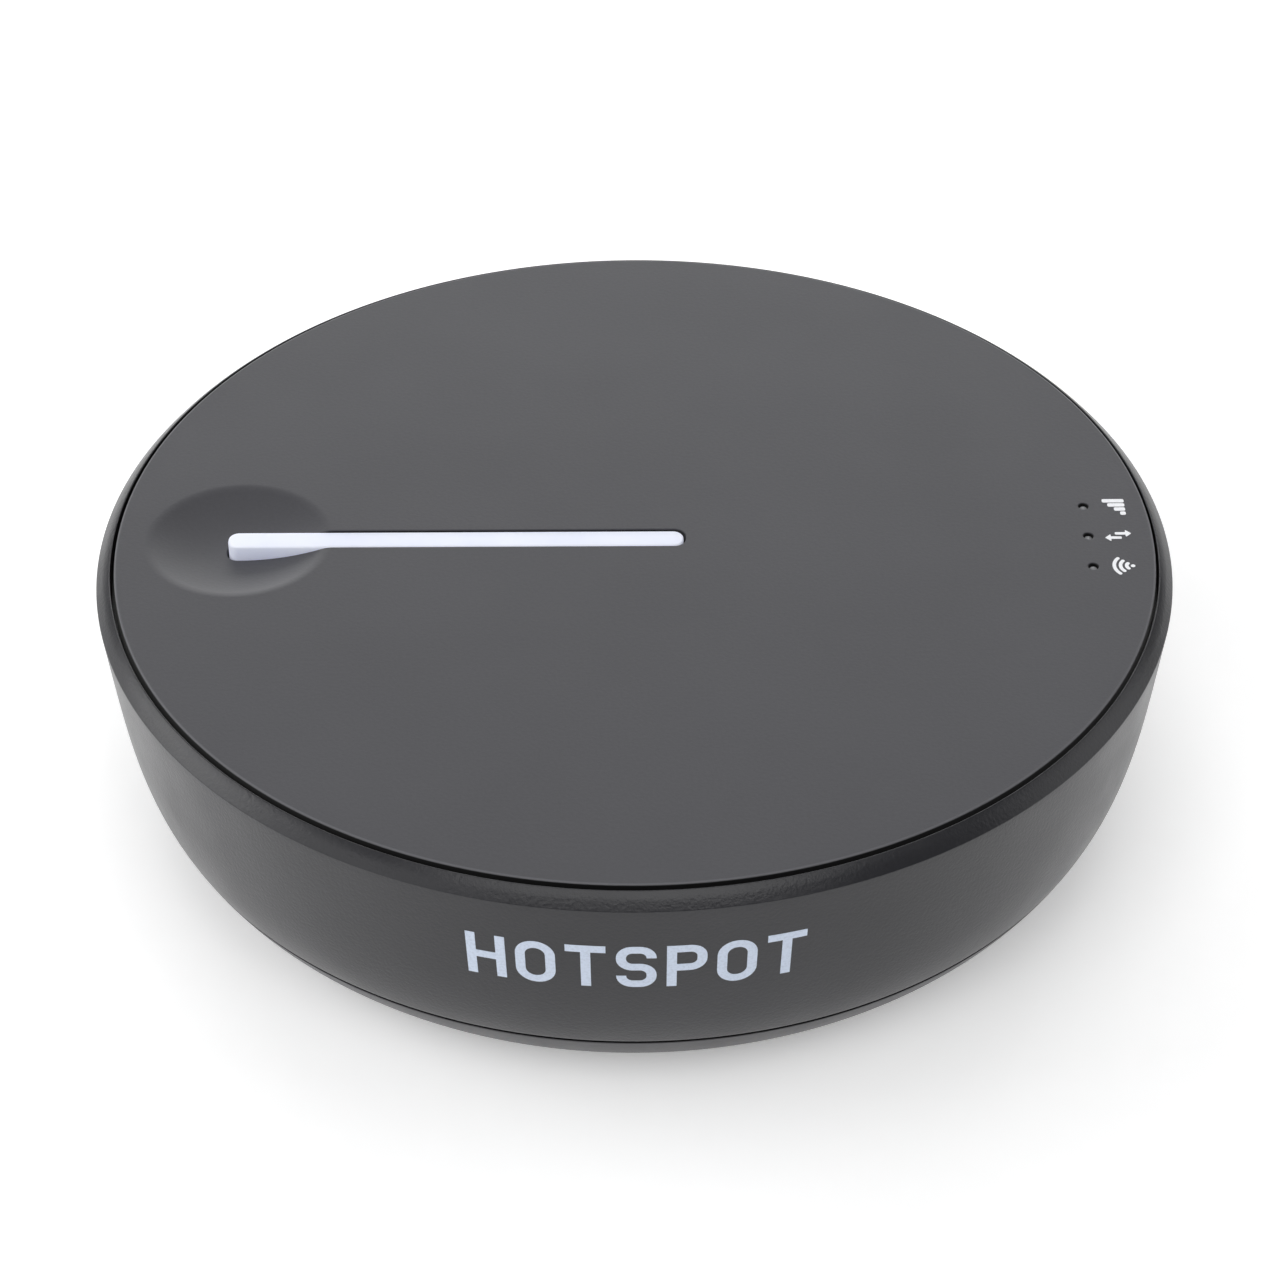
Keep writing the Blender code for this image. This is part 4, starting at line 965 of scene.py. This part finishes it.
def make_shell():
    """The bowl-shaped shell with its sloping rim, ledge, chassis seat, socket hole and reset pinhole."""
    plain_rows = np.linspace(SHELL_LOW.z + SHELL_LOW_EDGE, FINE_ROWS_LOW, 30)
    outer_rows = np.concatenate((plain_rows[:-1], np.linspace(FINE_ROWS_LOW, FINE_ROWS_HIGH, 29)))
    inner_rows = np.linspace(CHASSIS_SEAT_TOP, LEDGE_UNDERSIDE, 25)
    step = TAU / WALL_COLUMNS
    socket_width = SOCKET_HIGH.x - SOCKET_LOW.x + 2 * SOCKET_CLEARANCE
    socket_height = SOCKET_HIGH.z - SOCKET_LOW.z + 2 * SOCKET_CLEARANCE
    socket_z = (SOCKET_HIGH.z + SOCKET_LOW.z) / 2
    reset_z = (RESET_HIGH.z + RESET_LOW.z) / 2
    reset_turn = math.atan2((RESET_HIGH.x + RESET_LOW.x) / 2, (RESET_HIGH.y + RESET_LOW.y) / 2)

    def socket_hole(grow):
        """The socket's opening grown by that much: a rounded slot in (arc, height)."""
        width, height = socket_width + 2 * grow, socket_height + 2 * grow
        return rounded_box(width, height, height / 2 * FULL_ROUND, (0, socket_z), 24)[0]

    def reset_hole(grow):
        """The reset pinhole grown by that much: a circle in (arc, height)."""
        return circle(RESET_HOLE_RADIUS + grow, 48, (0, reset_z))[0]

    def grid_window(rows, middle, half_columns, middle_z, reach):
        """The first and last columns, and the rows nearest to reach below and above the middle."""
        first, last = (int(np.argmin(np.abs(rows - (middle_z + way * reach)))) for way in (-1, 1))
        return middle - half_columns, middle + half_columns, first, last

    inner_reach, inner_edge = 2.15 * MM, 0.05 * MM
    windows_out, windows_in, sheets = [], [], []
    for turn, outline_at, half_columns, reach, edge in (
        (0.0, socket_hole, 12, 2.9 * MM, 0.18 * MM),
        (reset_turn, reset_hole, 3, 1.35 * MM, 0.08 * MM),
    ):
        middle_z = float(outline_at(0)[:, 1].mean())
        middle = round(turn / step)
        columns = np.arange(middle - half_columns, middle + half_columns + 1) * step
        window = grid_window(outer_rows, middle, half_columns, middle_z, reach)
        rows = outer_rows[window[2] : window[3] + 1]
        skin, share, _ = window_frame(columns, rows, turn, side_radius, outline_at(edge), middle_z)
        tube, tube_end = walled_hole(turn, outline_at, share, edge, middle_z)
        windows_out.append(window)
        window = grid_window(inner_rows, middle, half_columns, middle_z, min(reach, inner_reach))
        rows = inner_rows[window[2] : window[3] + 1]
        inner_skin, _, inner_end = window_frame(
            columns, rows, turn, inner_radius, outline_at(inner_edge), middle_z
        )
        windows_in.append(window)

        def on_inner_wall(x, y, _, turn=turn, middle_z=middle_z):
            """(arc, height) on the wall's inner face."""
            return on_round_wall(inner_radius, np.column_stack((x, y)), turn, middle_z).T

        closing = moved([filled([inner_end, tube_end], 0)], on_inner_wall)
        sheets += [skin, tube, inner_skin, *closing]
    sheets.append(wall_sheet(side_radius, outer_rows, windows_out))
    sheets.append(wall_sheet(inner_radius, inner_rows, windows_in))
    bend_in, bend_down = 0.6 * MM, 0.54 * MM
    rim = filleted(
        [
            (RIM_INNER_RADIUS, LEDGE_TOP, 0),
            (RIM_INNER_RADIUS, RIM_TOP, 0.1 * MM),
            (RIM_INNER_RADIUS + bend_in, RIM_TOP - bend_down, 3.0 * MM),
            (BODY_RADIUS, SHOULDER_Z, 0.12 * MM),
            (float(side_radius(FINE_ROWS_HIGH)), FINE_ROWS_HIGH, 0),
        ],
        steps=6,
    )
    ledge = [
        (RIM_INNER_RADIUS, LEDGE_TOP),
        (LEDGE_INNER_RADIUS, LEDGE_TOP),
        (LEDGE_INNER_RADIUS, LEDGE_UNDERSIDE),
        (float(inner_radius(LEDGE_UNDERSIDE)), LEDGE_UNDERSIDE),
    ]
    low = SHELL_LOW.z
    skirt_rows = np.linspace(CHASSIS_SEAT_LOW, low, 12)
    foot = [
        (float(inner_radius(CHASSIS_SEAT_TOP)), CHASSIS_SEAT_TOP),
        (CHASSIS_SEAT_RADIUS, CHASSIS_SEAT_TOP),
        (CHASSIS_SEAT_RADIUS, CHASSIS_SEAT_LOW),
        *zip(inner_radius(skirt_rows), skirt_rows),
        *[
            (float(side_radius(low + drop)) - inset, low + drop)
            for inset, drop in rounding(SHELL_LOW_EDGE)
        ],
    ]
    sheets += [turned(rim), turned(ledge), turned(foot)]
    return piece(
        "shell_moulding",
        sheets,
        SHELL_ABS,
        replaces=["body_shell"],
        sharp=50,
        gap_shade=shell_gap_shade,
    )


def shell_gap_shade(x, y, z):
    """Where the shell gets painted shade: none on the wall and the rim, full on all that lies further in and in
    the gap beside the lid.
    """
    r = np.hypot(x, y)
    behind_wall = (side_radius(z) - r - 0.12 * MM) / (0.08 * MM)
    in_lid_gap = (RIM_INNER_RADIUS + 0.02 * MM - r) / (0.02 * MM)
    return np.where(z > SHOULDER_Z - 0.5 * MM, in_lid_gap, behind_wall)


def base_gap_shade(x, y, z):
    """Where the base gets painted shade: none on the side and the underside, full in the seam below the shell and
    on all inside.
    """
    behind_side = (side_radius(z) - np.hypot(x, y) - 0.05 * MM) / (0.03 * MM)
    above_underside = (z - BASE_LOW.z - 0.2 * MM) / (0.2 * MM)
    return np.minimum(behind_side, above_underside)


def screw_boss():
    """The profile of the ring that a base screw's head pulls on: a boss with the head's seat inside it."""
    outer, bore = 3.2 * MM, 1.1 * MM
    low, seat, top = 2.0 * MM, 2.4 * MM, 3.4 * MM
    return filleted(
        [
            (outer, low, 0),
            (outer, top, 0.2 * MM),
            (bore, top, 0.1 * MM),
            (bore, seat, 0),
            (SEAT_RADIUS, seat, 0),
            (SEAT_RADIUS, low, 0),
            (outer, low, 0),
        ]
    )


def make_base():
    """The base: a shallow dish with a locating lip, a ring groove for the foot, a label recess and seats."""
    rim_z, low = BASE_RIM_Z, BASE_LOW.z
    outer_rows = np.linspace(rim_z - 0.25 * MM, low + 0.35 * MM, 16)
    groove_out = GROOVE_RADIUS + GROOVE_WIDTH / 2
    groove_in = GROOVE_RADIUS - GROOVE_WIDTH / 2
    recess = LABEL_HIGH.x + 0.3 * MM
    lip_outer, lip_inner, lip_top = 37.5 * MM, 36.5 * MM, BASE_HIGH.z
    lip_edge, groove_edge, rim_border = 0.15 * MM, 0.12 * MM, 0.08 * MM
    upper = filleted(
        [
            (BASE_FLOOR_RADIUS, BASE_FLOOR, 0),
            (lip_inner, rim_z - 0.7 * MM, 1.0 * MM),
            (lip_inner, lip_top, lip_edge),
            (lip_outer, lip_top, lip_edge),
            (lip_outer, rim_z, 0.1 * MM),
            (float(side_radius(rim_z)) - rim_border, rim_z, 0),
            (float(side_radius(rim_z)), rim_z, 0.05 * MM),
            (float(side_radius(outer_rows[0])), outer_rows[0], 0),
        ]
    )
    side = np.column_stack((side_radius(outer_rows), outer_rows))
    lower = filleted(
        [
            (float(side_radius(outer_rows[-1])), outer_rows[-1], 0),
            (float(side_radius(low)), low, 0.3 * MM),
            (groove_out, low, groove_edge),
            (groove_out, GROOVE_CEILING, 0),
        ]
    )
    middle = filleted(
        [
            (groove_in, GROOVE_CEILING, 0),
            (groove_in, low, groove_edge),
            (recess, low, groove_edge),
            (recess, LABEL_RECESS_CEILING, 0),
            (0, LABEL_RECESS_CEILING, 0),
        ]
    )
    seat_middles = circle(GROOVE_RADIUS, 4)[0]
    seats = [circle(SEAT_RADIUS, 48, middle_of_seat) for middle_of_seat in seat_middles]
    ring_out, ring_in, floor = (
        circle(r, WALL_COLUMNS)[0][:, ::-1] for r in (groove_out, groove_in, BASE_FLOOR_RADIUS)
    )
    seat_loops = [points for points, _ in seats]
    sheets = [turned(upper), turned(side), turned(lower), turned(middle)]
    sheets.append(filled([ring_out, ring_in, *seat_loops], GROOVE_CEILING, up=False))
    sheets.append(filled([floor, *seat_loops], BASE_FLOOR))
    for (points, normals), middle_of_seat in zip(seats, seat_middles):
        sheets.append(carried(points, normals, [(0, GROOVE_CEILING), (0, BASE_FLOOR)]))
        sheets.append(turned(screw_boss(), 48, middle_of_seat))
    return piece(
        "base_moulding",
        sheets,
        BASE_ABS,
        replaces=["base_cover"],
        gap_shade=base_gap_shade,
    )


def make_foot():
    """The foot: a flat ring whose lower edges are quarter rounds, sitting in the base's groove."""
    inner, outer = 29.5 * MM, FOOT_HIGH.x
    upper_edge, lower_edge = 0.08 * MM, 0.35 * MM
    profile = filleted(
        [
            (inner, FOOT_HIGH.z, upper_edge),
            (outer, FOOT_HIGH.z, upper_edge),
            (outer, FOOT_LOW.z, lower_edge),
            (inner, FOOT_LOW.z, lower_edge),
        ],
        closed=True,
    )
    ring = turned(np.vstack((profile, profile[:1])))
    return piece("foot_ring_moulding", [ring], FOOT_SILICONE, replaces=["foot_ring"])


def make_label():
    """The blank label: a thin disc with die-cut, slightly rounded edges."""
    outline, normals = circle(LABEL_HIGH.x, 256)
    sheets = slab(outline, normals, LABEL_LOW.z, LABEL_HIGH.z, 0.05 * MM)
    return piece("label_disc", sheets, LABEL_FILM, replaces=["rating_label"])


# --- power bar --------------------------------------------------------------------------------------------


def turned_on_hinge(profile):
    """A profile of (r, y) turned about the hinge's axis, which lies along Y."""
    return moved([turned(profile, 40)], lambda x, y, z: (HINGE.x + x, z, HINGE.z + y))


def make_bar():
    """The power bar: a long rounded bar on a wider flange, the barrel for its pin and the nub that presses.

    The bar's side drops straight from a small quarter round at its top, and spreads to the flange below the
    lid. The barrel is a ring turned about the hinge axis.
    """
    flange_low, flange_top = 18.9 * MM, 19.7 * MM
    top = BAR_HIGH.z
    edge, border = 0.14 * MM, 0.05 * MM
    centre = ((BAR_LEFT + BAR_RIGHT) / 2, BAR_Y)
    bar, bar_normal = rounded_box(
        BAR_RIGHT - BAR_LEFT, BAR_WIDTH, BAR_CORNER, centre, 16, spacing=0.6 * MM
    )
    flange_left, flange_right = BAR_LOW.x, HINGE.x - 0.9 * MM
    flange_centre = ((flange_left + flange_right) / 2, 0)
    flange, _ = rounded_box(
        flange_right - flange_left, 4.0 * MM, 0.5 * MM, flange_centre, 16, spacing=0.6 * MM
    )
    flange = along_outline(flange, np.arange(len(bar)) / len(bar))
    side = [(-edge - border, top)]
    side += [(-inset, top - drop) for inset, drop in rounding(edge, 5)]
    side += [(0, flange_top)]
    rings = [np.column_stack((bar + o * bar_normal, np.full(len(bar), z))) for o, z in side]
    rings += [np.column_stack((flange, np.full(len(bar), z))) for z in (flange_top, flange_low)]
    nub_radius, nub_low, nub_top = 1.0 * MM, 18.2 * MM, 19.2 * MM
    nub = filleted(
        [(0, nub_low, 0), (nub_radius, nub_low, 0.25 * MM), (nub_radius, nub_top, 0), (0, nub_top, 0)]
    )
    radius, half, chamfer = 1.3 * MM, 1.95 * MM, 0.1 * MM
    barrel = [
        (PIN_BORE, -half),
        (radius - chamfer, -half),
        (radius, chamfer - half),
        (radius, half - chamfer),
        (radius - chamfer, half),
        (PIN_BORE, half),
        (PIN_BORE, -half),
    ]
    sheets = [
        lofted(rings),
        filled([bar + side[0][0] * bar_normal], top),
        filled([flange], flange_low, up=False),
        turned(nub, 32, (-29.0 * MM, 0)),
        *turned_on_hinge(barrel),
    ]
    return piece(
        "power_bar_moulding",
        sheets,
        BAR_WHITE,
        body="power_bar_rocker",
        replaces=["power_bar"],
    )


def make_pivot_pin():
    """The pin: a ground rod along Y with small rounded ends."""
    half, radius, edge = (PIN_HIGH.y - PIN_LOW.y) / 2, 0.5 * MM, 0.1 * MM
    profile = filleted([(0, -half, 0), (radius, -half, edge), (radius, half, edge), (0, half, 0)])
    sheets = turned_on_hinge(profile)
    steel = SLOT_FINISHES["screw_steel"]
    return piece("bar_pivot_rod", sheets, steel, replaces=["bar_pivot_pin"])


# --- lights, icons and printed word -------------------------------------------------------------------------


def make_light_guide():
    """The light guide: a rail under the lid and three pins whose slightly domed tips fill the holes."""
    rail_low, rail_top = 19.4 * MM, COVER_UNDERSIDE - 0.3 * MM
    rail = rounded_box(1.6 * MM, 10.4 * MM, 0.4 * MM, (LIGHT_X, 0), 6)
    sheets = slab(*rail, rail_low, rail_top, 0.12 * MM)
    radius, tip, dome = LIGHT_HOLE_RADIUS - 0.15 * MM, TOP - 0.14 * MM, 0.1 * MM
    profile = [(radius * share, tip - dome * share**2) for share in np.linspace(0, 1, 6)]
    profile += [(radius, GUIDE_LOW.z), (0, GUIDE_LOW.z)]
    sheets += [turned(profile, 32, at) for at in light_places()]
    return piece(
        "light_guide_moulding", sheets, GUIDE_SMOKE, replaces=["light_guide"]
    )


def band(path, width, closed=False, round_ends=False):
    """The loops round a stroke of that width along a flat path.

    Each point p goes to p + h n and p - h n, with n the unit normal of the chord between its neighbours and h
    half the width. An open stroke is one loop with flat or half-round ends, and a closed one has an outer
    and an inner loop.
    """
    if closed:
        chord = np.roll(path, -1, axis=0) - np.roll(path, 1, axis=0)
    else:
        chord = np.gradient(path, axis=0)
    normal = np.column_stack((chord[:, 1], -chord[:, 0]))
    normal *= width / 2 / np.linalg.norm(normal, axis=1, keepdims=True)
    if closed:
        return [path + normal, path - normal]
    if not round_ends:
        return [np.vstack((path + normal, (path - normal)[::-1]))]
    angle = np.linspace(0, math.pi, 9)[1:-1, None]
    along = np.column_stack((-normal[:, 1], normal[:, 0]))
    last = path[-1] + np.cos(angle) * normal[-1] + np.sin(angle) * along[-1]
    first = path[0] - np.cos(angle) * normal[0] - np.sin(angle) * along[0]
    return [np.vstack((path + normal, last, (path - normal)[::-1], first))]


def divided(loop, spacing):
    """The loop with its long edges cut into equal steps no longer than the spacing."""
    after = np.roll(loop, -1, axis=0)
    steps = np.maximum(1, np.ceil(np.linalg.norm(after - loop, axis=1) / spacing)).astype(int)
    return np.vstack([a + (b - a) * (np.arange(n) / n)[:, None] for a, b, n in zip(loop, after, steps)])


def ink_film(shapes, place, spacing=0.35 * MM):
    """One film of ink that covers every shape, where a shape is a list of loops and the odd parts are solid.

    The shapes are cut into small triangles together, so strokes that cross make one film. place(u, v, lift)
    wraps it on a surface, and the film's border is closed by walls between its top and its bottom.
    """
    shapes = [[divided(loop, spacing) for loop in loops] for loops in shapes]
    loops = [loop for shape in shapes for loop in shape]
    low, high = np.vstack(loops).min(0), np.vstack(loops).max(0)
    x, y = np.meshgrid(*(np.arange(a + 0.1 * MM, b, spacing) for a, b in zip(low, high)))
    lattice = np.column_stack((x.ravel(), y.ravel()))
    flat, faces, middle = triangulated(loops, [lattice])
    keep = np.zeros(len(faces), bool)
    for shape in shapes:
        keep |= np.logical_xor.reduce([inside(middle, loop) for loop in shape])
    faces = faces[keep]
    count = len(flat)
    sides = np.vstack([faces[:, (i, (i + 1) % 3)] for i in range(3)])
    turned_back = set(map(tuple, sides[:, ::-1].tolist()))
    border = np.array([side for side in sides.tolist() if tuple(side) not in turned_back])
    walls = np.column_stack((border[:, 1], border[:, 0], border[:, 0] + count, border[:, 1] + count))
    points = np.vstack(
        [np.column_stack(place(flat[:, 0], flat[:, 1], lift)) for lift in (INK_LIFT, -INK_LIFT / 2)]
    )
    used = np.unique(faces)
    new_index = np.full(2 * count, -1)
    new_index[used] = np.arange(len(used))
    new_index[used + count] = np.arange(len(used)) + len(used)
    points = points[np.concatenate((used, used + count))]
    caps = np.vstack((faces, faces[:, ::-1] + count))
    return [(points, new_index[caps]), (points, new_index[walls])]


def on_lid(x, y, lift):
    """(x, y) on the lid's flat, raised by lift."""
    return x, y, np.full_like(x, TOP + lift)


def on_wall(u, v, lift):
    """(u, v) on the front wall, raised by lift: v is the height, and u / r(WORD_Z) the angle from -Y."""
    radius = side_radius(v) + lift
    angle = u / side_radius(WORD_Z)
    return radius * np.sin(angle), -radius * np.cos(angle), v


def signal_bars(centre_y):
    """Four bars with rounded ends, each shorter than the one before, all ending at the same x."""
    right, thickness, corner = 39.3 * MM, 0.46 * MM, 0.14 * MM
    first_y, pitch = 0.68 * MM, 0.56 * MM
    shapes = []
    for k, length in enumerate((1.76, 1.37, 0.9, 0.46)):
        centre = (right - length * MM / 2, centre_y + first_y - k * pitch)
        shapes.append([rounded_box(length * MM, thickness, corner, centre, 5)[0]])
    return shapes


def transfer_arrows(centre_y):
    """Two arrows that point opposite ways, each a shaft with a rounded tail and a triangular head."""
    head_length, head_half, shaft_half = 0.47 * MM, 0.48 * MM, 0.16 * MM
    head_corner, tail_corner = 0.05 * MM, 0.1 * MM
    shapes = []
    for tip, tail, rise, way in ((39.42, 38.12, 0.28, 1), (37.3, 38.62, -0.28, -1)):
        tip, tail, y = tip * MM, tail * MM, centre_y + rise * MM
        neck = tip - way * head_length
        corners = [
            (tip, y, head_corner),
            (neck, y + head_half, head_corner),
            (neck, y + shaft_half, 0),
            (tail, y + shaft_half, tail_corner),
            (tail, y - shaft_half, tail_corner),
            (neck, y - shaft_half, 0),
            (neck, y - head_half, head_corner),
        ]
        shapes.append([filleted(corners, 4, closed=True)])
    return shapes


def wireless_fan(centre_y):
    """A dot with three arcs beside it: each arc is a round-ended band, spread to either side of -X."""
    dot_radius, arc_width, spread = 0.18 * MM, 0.29 * MM, math.radians(42)
    dot = np.array((39.1 * MM, centre_y))
    shapes = [[circle(dot_radius, 24, dot)[0]]]
    angle = math.pi + np.linspace(-1, 1, 25) * spread
    way = np.column_stack((np.cos(angle), np.sin(angle)))
    for radius in (0.5, 0.98, 1.47):
        shapes.append(band(dot + radius * MM * way, arc_width, round_ends=True))
    return shapes


def letter(name):
    """The strokes of a plain H, O, T, P or S in its own frame, centred, as lists of loops.

    side and top are where the strokes' middle lines run, and edge and end are the letter's own limits.
    """
    side, top = (LETTER_WIDTH - STROKE) / 2, (LETTER_HEIGHT - STROKE) / 2
    edge, end = LETTER_WIDTH / 2, LETTER_HEIGHT / 2
    turn, bowl_z, hook_z = 0.84 * MM, -0.15 * MM, 0.95 * MM

    def stroke(*corners):
        """One stroke along corners of (x, z, radius)."""
        return band(filleted([(x, z, r) for x, z, r in corners], 8), STROKE)

    if name == "H":
        return [
            stroke((-side, end, 0), (-side, -end, 0)),
            stroke((side, end, 0), (side, -end, 0)),
            stroke((-side, 0, 0), (side, 0, 0)),
        ]
    if name == "O":
        return [band(rounded_box(2 * side, 2 * top, side * 0.98, corner_steps=14)[0], STROKE, closed=True)]
    if name == "T":
        return [stroke((-edge, top, 0), (edge, top, 0)), stroke((0, top, 0), (0, -end, 0))]
    if name == "P":
        return [
            stroke((-side, end, 0), (-side, -end, 0)),
            stroke((-side, top, 0), (side, top, turn), (side, bowl_z, turn), (-side, bowl_z, 0)),
        ]
    return [
        stroke(
            (side, hook_z, 0),
            (side, top, turn),
            (-side, top, turn),
            (-side, 0, turn),
            (side, 0, turn),
            (side, -top, turn),
            (-side, -top, turn),
            (-side, -hook_z, 0),
        )
    ]


def make_prints():
    """The printed marks: an icon beside each light and a plain generic word on the front wall."""
    places = [y for _, y in light_places()]
    for name, draw, y in (
        ("signal_icon_ink", signal_bars, places[0]),
        ("transfer_icon_ink", transfer_arrows, places[1]),
        ("wireless_icon_ink", wireless_fan, places[2]),
    ):
        piece(name, ink_film(draw(y), on_lid), ICON_INK)
    pitch = LETTER_WIDTH + LETTER_GAP
    for k, name in enumerate(WORD):
        at = np.array(((k - (len(WORD) - 1) / 2) * pitch, WORD_Z))
        shapes = [[loop + at for loop in shape] for shape in letter(name)]
        piece(f"front_print_{k + 1}", ink_film(shapes, on_wall), WORD_INK)


# --- socket -----------------------------------------------------------------------------------------------


def make_socket():
    """The USB-C sleeve: a flattened tube along Y, rolled at its mouth and closed at its back."""
    width, height = SOCKET_HIGH.x - SOCKET_LOW.x, SOCKET_HIGH.z - SOCKET_LOW.z
    middle_z = (SOCKET_LOW.z + SOCKET_HIGH.z) / 2
    front, back = SOCKET_HIGH.y, SOCKET_LOW.y
    wall, floor = 0.3 * MM, back + 0.9 * MM
    outer_edge, inner_edge = 0.1 * MM, 0.14 * MM
    outline, normals = rounded_box(
        width, height, height / 2 * FULL_ROUND, corner_steps=20, spacing=0.8 * MM
    )
    mouth = [(-inset, front - drop) for inset, drop in rounding(outer_edge)]
    rolled = [(-wall + inset, front - drop) for inset, drop in rounding(inner_edge)[::-1]]
    skin = carried(outline, normals, [(-wall, floor), *rolled, *mouth, (0, back)])
    inner_end = filled([outline - wall * normals], floor)
    outer_end = filled([outline], back, up=False)
    sheets = moved([skin, inner_end, outer_end], lambda x, y, z: (x, z, middle_z + y))
    return piece("usb_c_sleeve", sheets, SOCKET_TIN, replaces=["usb_c_shell"])


def make_tongue():
    """The contact tongue: a thin plate with rounded front edges, and a row of gold pads on each face."""
    width, length = TONGUE_HIGH.x - TONGUE_LOW.x, TONGUE_HIGH.y - TONGUE_LOW.y
    middle_y = (TONGUE_LOW.y + TONGUE_HIGH.y) / 2
    outline, normals = rounded_box(width, length, 0.4 * MM, (0, middle_y), 6)
    plate = slab(outline, normals, TONGUE_LOW.z, TONGUE_HIGH.z, 0.12 * MM)
    piece("usb_c_tongue_plate", plate, TONGUE_RESIN, replaces=["usb_c_tongue"])
    count, pitch, half_thickness = 12, 0.5 * MM, 0.02 * MM
    pad_y = TONGUE_HIGH.y - 2.3 * MM
    pads = []
    for k in range(count):
        pad = rounded_box(0.26 * MM, 3.4 * MM, 0.06 * MM, ((k - (count - 1) / 2) * pitch, pad_y), 3)
        for z in (TONGUE_LOW.z, TONGUE_HIGH.z):
            pads += slab(*pad, z - half_thickness, z + half_thickness)
    piece("usb_c_contact_pads", pads, CONTACT_GOLD)


# --- studio -----------------------------------------------------------------------------------------------


def make_floor():
    """A pale seamless floor: a wide flat sheet with a faint paper grain."""
    material, tree, place = start_material(
        "matt_white_paper_floor",
        Roughness=0.9,
        Emission_Color=srgb("FFFFFF"),
        Emission_Strength=0.33,
    )
    grain = add(tree, "TexNoise", {"Vector": place, "Scale": 1 / (2 * MM), "Detail": 3})
    colour = add(tree, "Mix", {SHARE: grain, FIRST: srgb("F4F4F4"), SECOND: srgb("FAFAFA")}, **OF_COLOURS)
    join_shader(tree, colour)
    half_width = 3.0
    side = np.linspace(-half_width, half_width, 13)
    x, y = np.meshgrid(side, side)
    points = np.column_stack((x.ravel(), y.ravel(), np.full(x.size, FLOOR_Z)))
    mesh = bpy.data.meshes.new("paper_floor")
    mesh.from_pydata(points, [], grid_faces(len(side), len(side), wrap=False).tolist())
    mesh.materials.append(material)
    floor = bpy.data.objects.new("paper_floor", mesh)
    bpy.context.scene.collection.objects.link(floor)


def softbox(name, azimuth, elevation, distance, width, height, watts):
    """A softbox that faces the casing from that distance.

    Its azimuth is counted from +Y towards +X and its elevation from the floor, both in degrees.
    """
    casing_middle = Vector((0, 0, 10 * MM))
    turn, rise = math.radians(azimuth), math.radians(elevation)
    way = Vector((math.sin(turn) * math.cos(rise), math.cos(turn) * math.cos(rise), math.sin(rise)))
    data = bpy.data.lights.new(name, "AREA")
    data.shape = "RECTANGLE"
    data.size = width
    data.size_y = height
    data.energy = watts
    lamp = bpy.data.objects.new(name, data)
    lamp.location = way * distance
    lamp.rotation_mode = "QUATERNION"
    lamp.rotation_quaternion = (casing_middle - lamp.location).to_track_quat("-Z", "Y")
    bpy.context.scene.collection.objects.link(lamp)


def make_lights():
    """Softboxes behind, before, above and mostly to the left, over a floor that gives back its own glow."""
    softbox("back_box", 0, 14, 1.2, 1.4, 0.5, 6.9)
    softbox("high_back_box", 0, 45, 1.2, 1.2, 0.7, 2.4)
    softbox("front_box", 180, 56, 1.2, 1.2, 0.7, 5.7)
    softbox("left_box", -82, 24, 1.0, 0.7, 0.6, 4.0)
    softbox("left_front_box", -125, 25, 1.0, 0.6, 0.5, 1.2)
    softbox("right_box", 82, 22, 1.0, 0.7, 0.6, 1.4)
    softbox("overhead_box", 0, 88, 1.2, 0.8, 0.8, 3.2)
    world = bpy.data.worlds.new("pale_studio")
    world.use_nodes = True
    back = world.node_tree.nodes["Background"]
    back.inputs["Color"].default_value = srgb("F2F4F8")
    back.inputs["Strength"].default_value = 0.03
    bpy.context.scene.world = world
    bpy.context.scene.view_settings.view_transform = "Standard"


def make_camera():
    """The camera, in front and 36.5 degrees above the lid's middle, its horizon tipped by 0.2 degrees."""
    data = bpy.data.cameras.new("camera")
    data.sensor_width = 36.0
    data.lens = 101.24
    data.clip_start = 0.01
    data.clip_end = 10
    camera = bpy.data.objects.new("camera", data)
    forward = Vector((0.0014389, 0.7863489, -0.6177809))
    tip = math.radians(0.1981)
    camera.location = Vector((0.0, -229.4 * MM, TOP + 169.92 * MM))
    camera.rotation_mode = "QUATERNION"
    camera.rotation_quaternion = Quaternion(forward, tip) @ forward.to_track_quat("-Z", "Y")
    bpy.context.scene.collection.objects.link(camera)
    bpy.context.scene.camera = camera


finish_cad_nodes()
make_lid()
make_shell()
make_base()
make_foot()
make_label()
make_bar()
make_pivot_pin()
make_light_guide()
make_prints()
make_socket()
make_tongue()
make_floor()
make_lights()
make_camera()
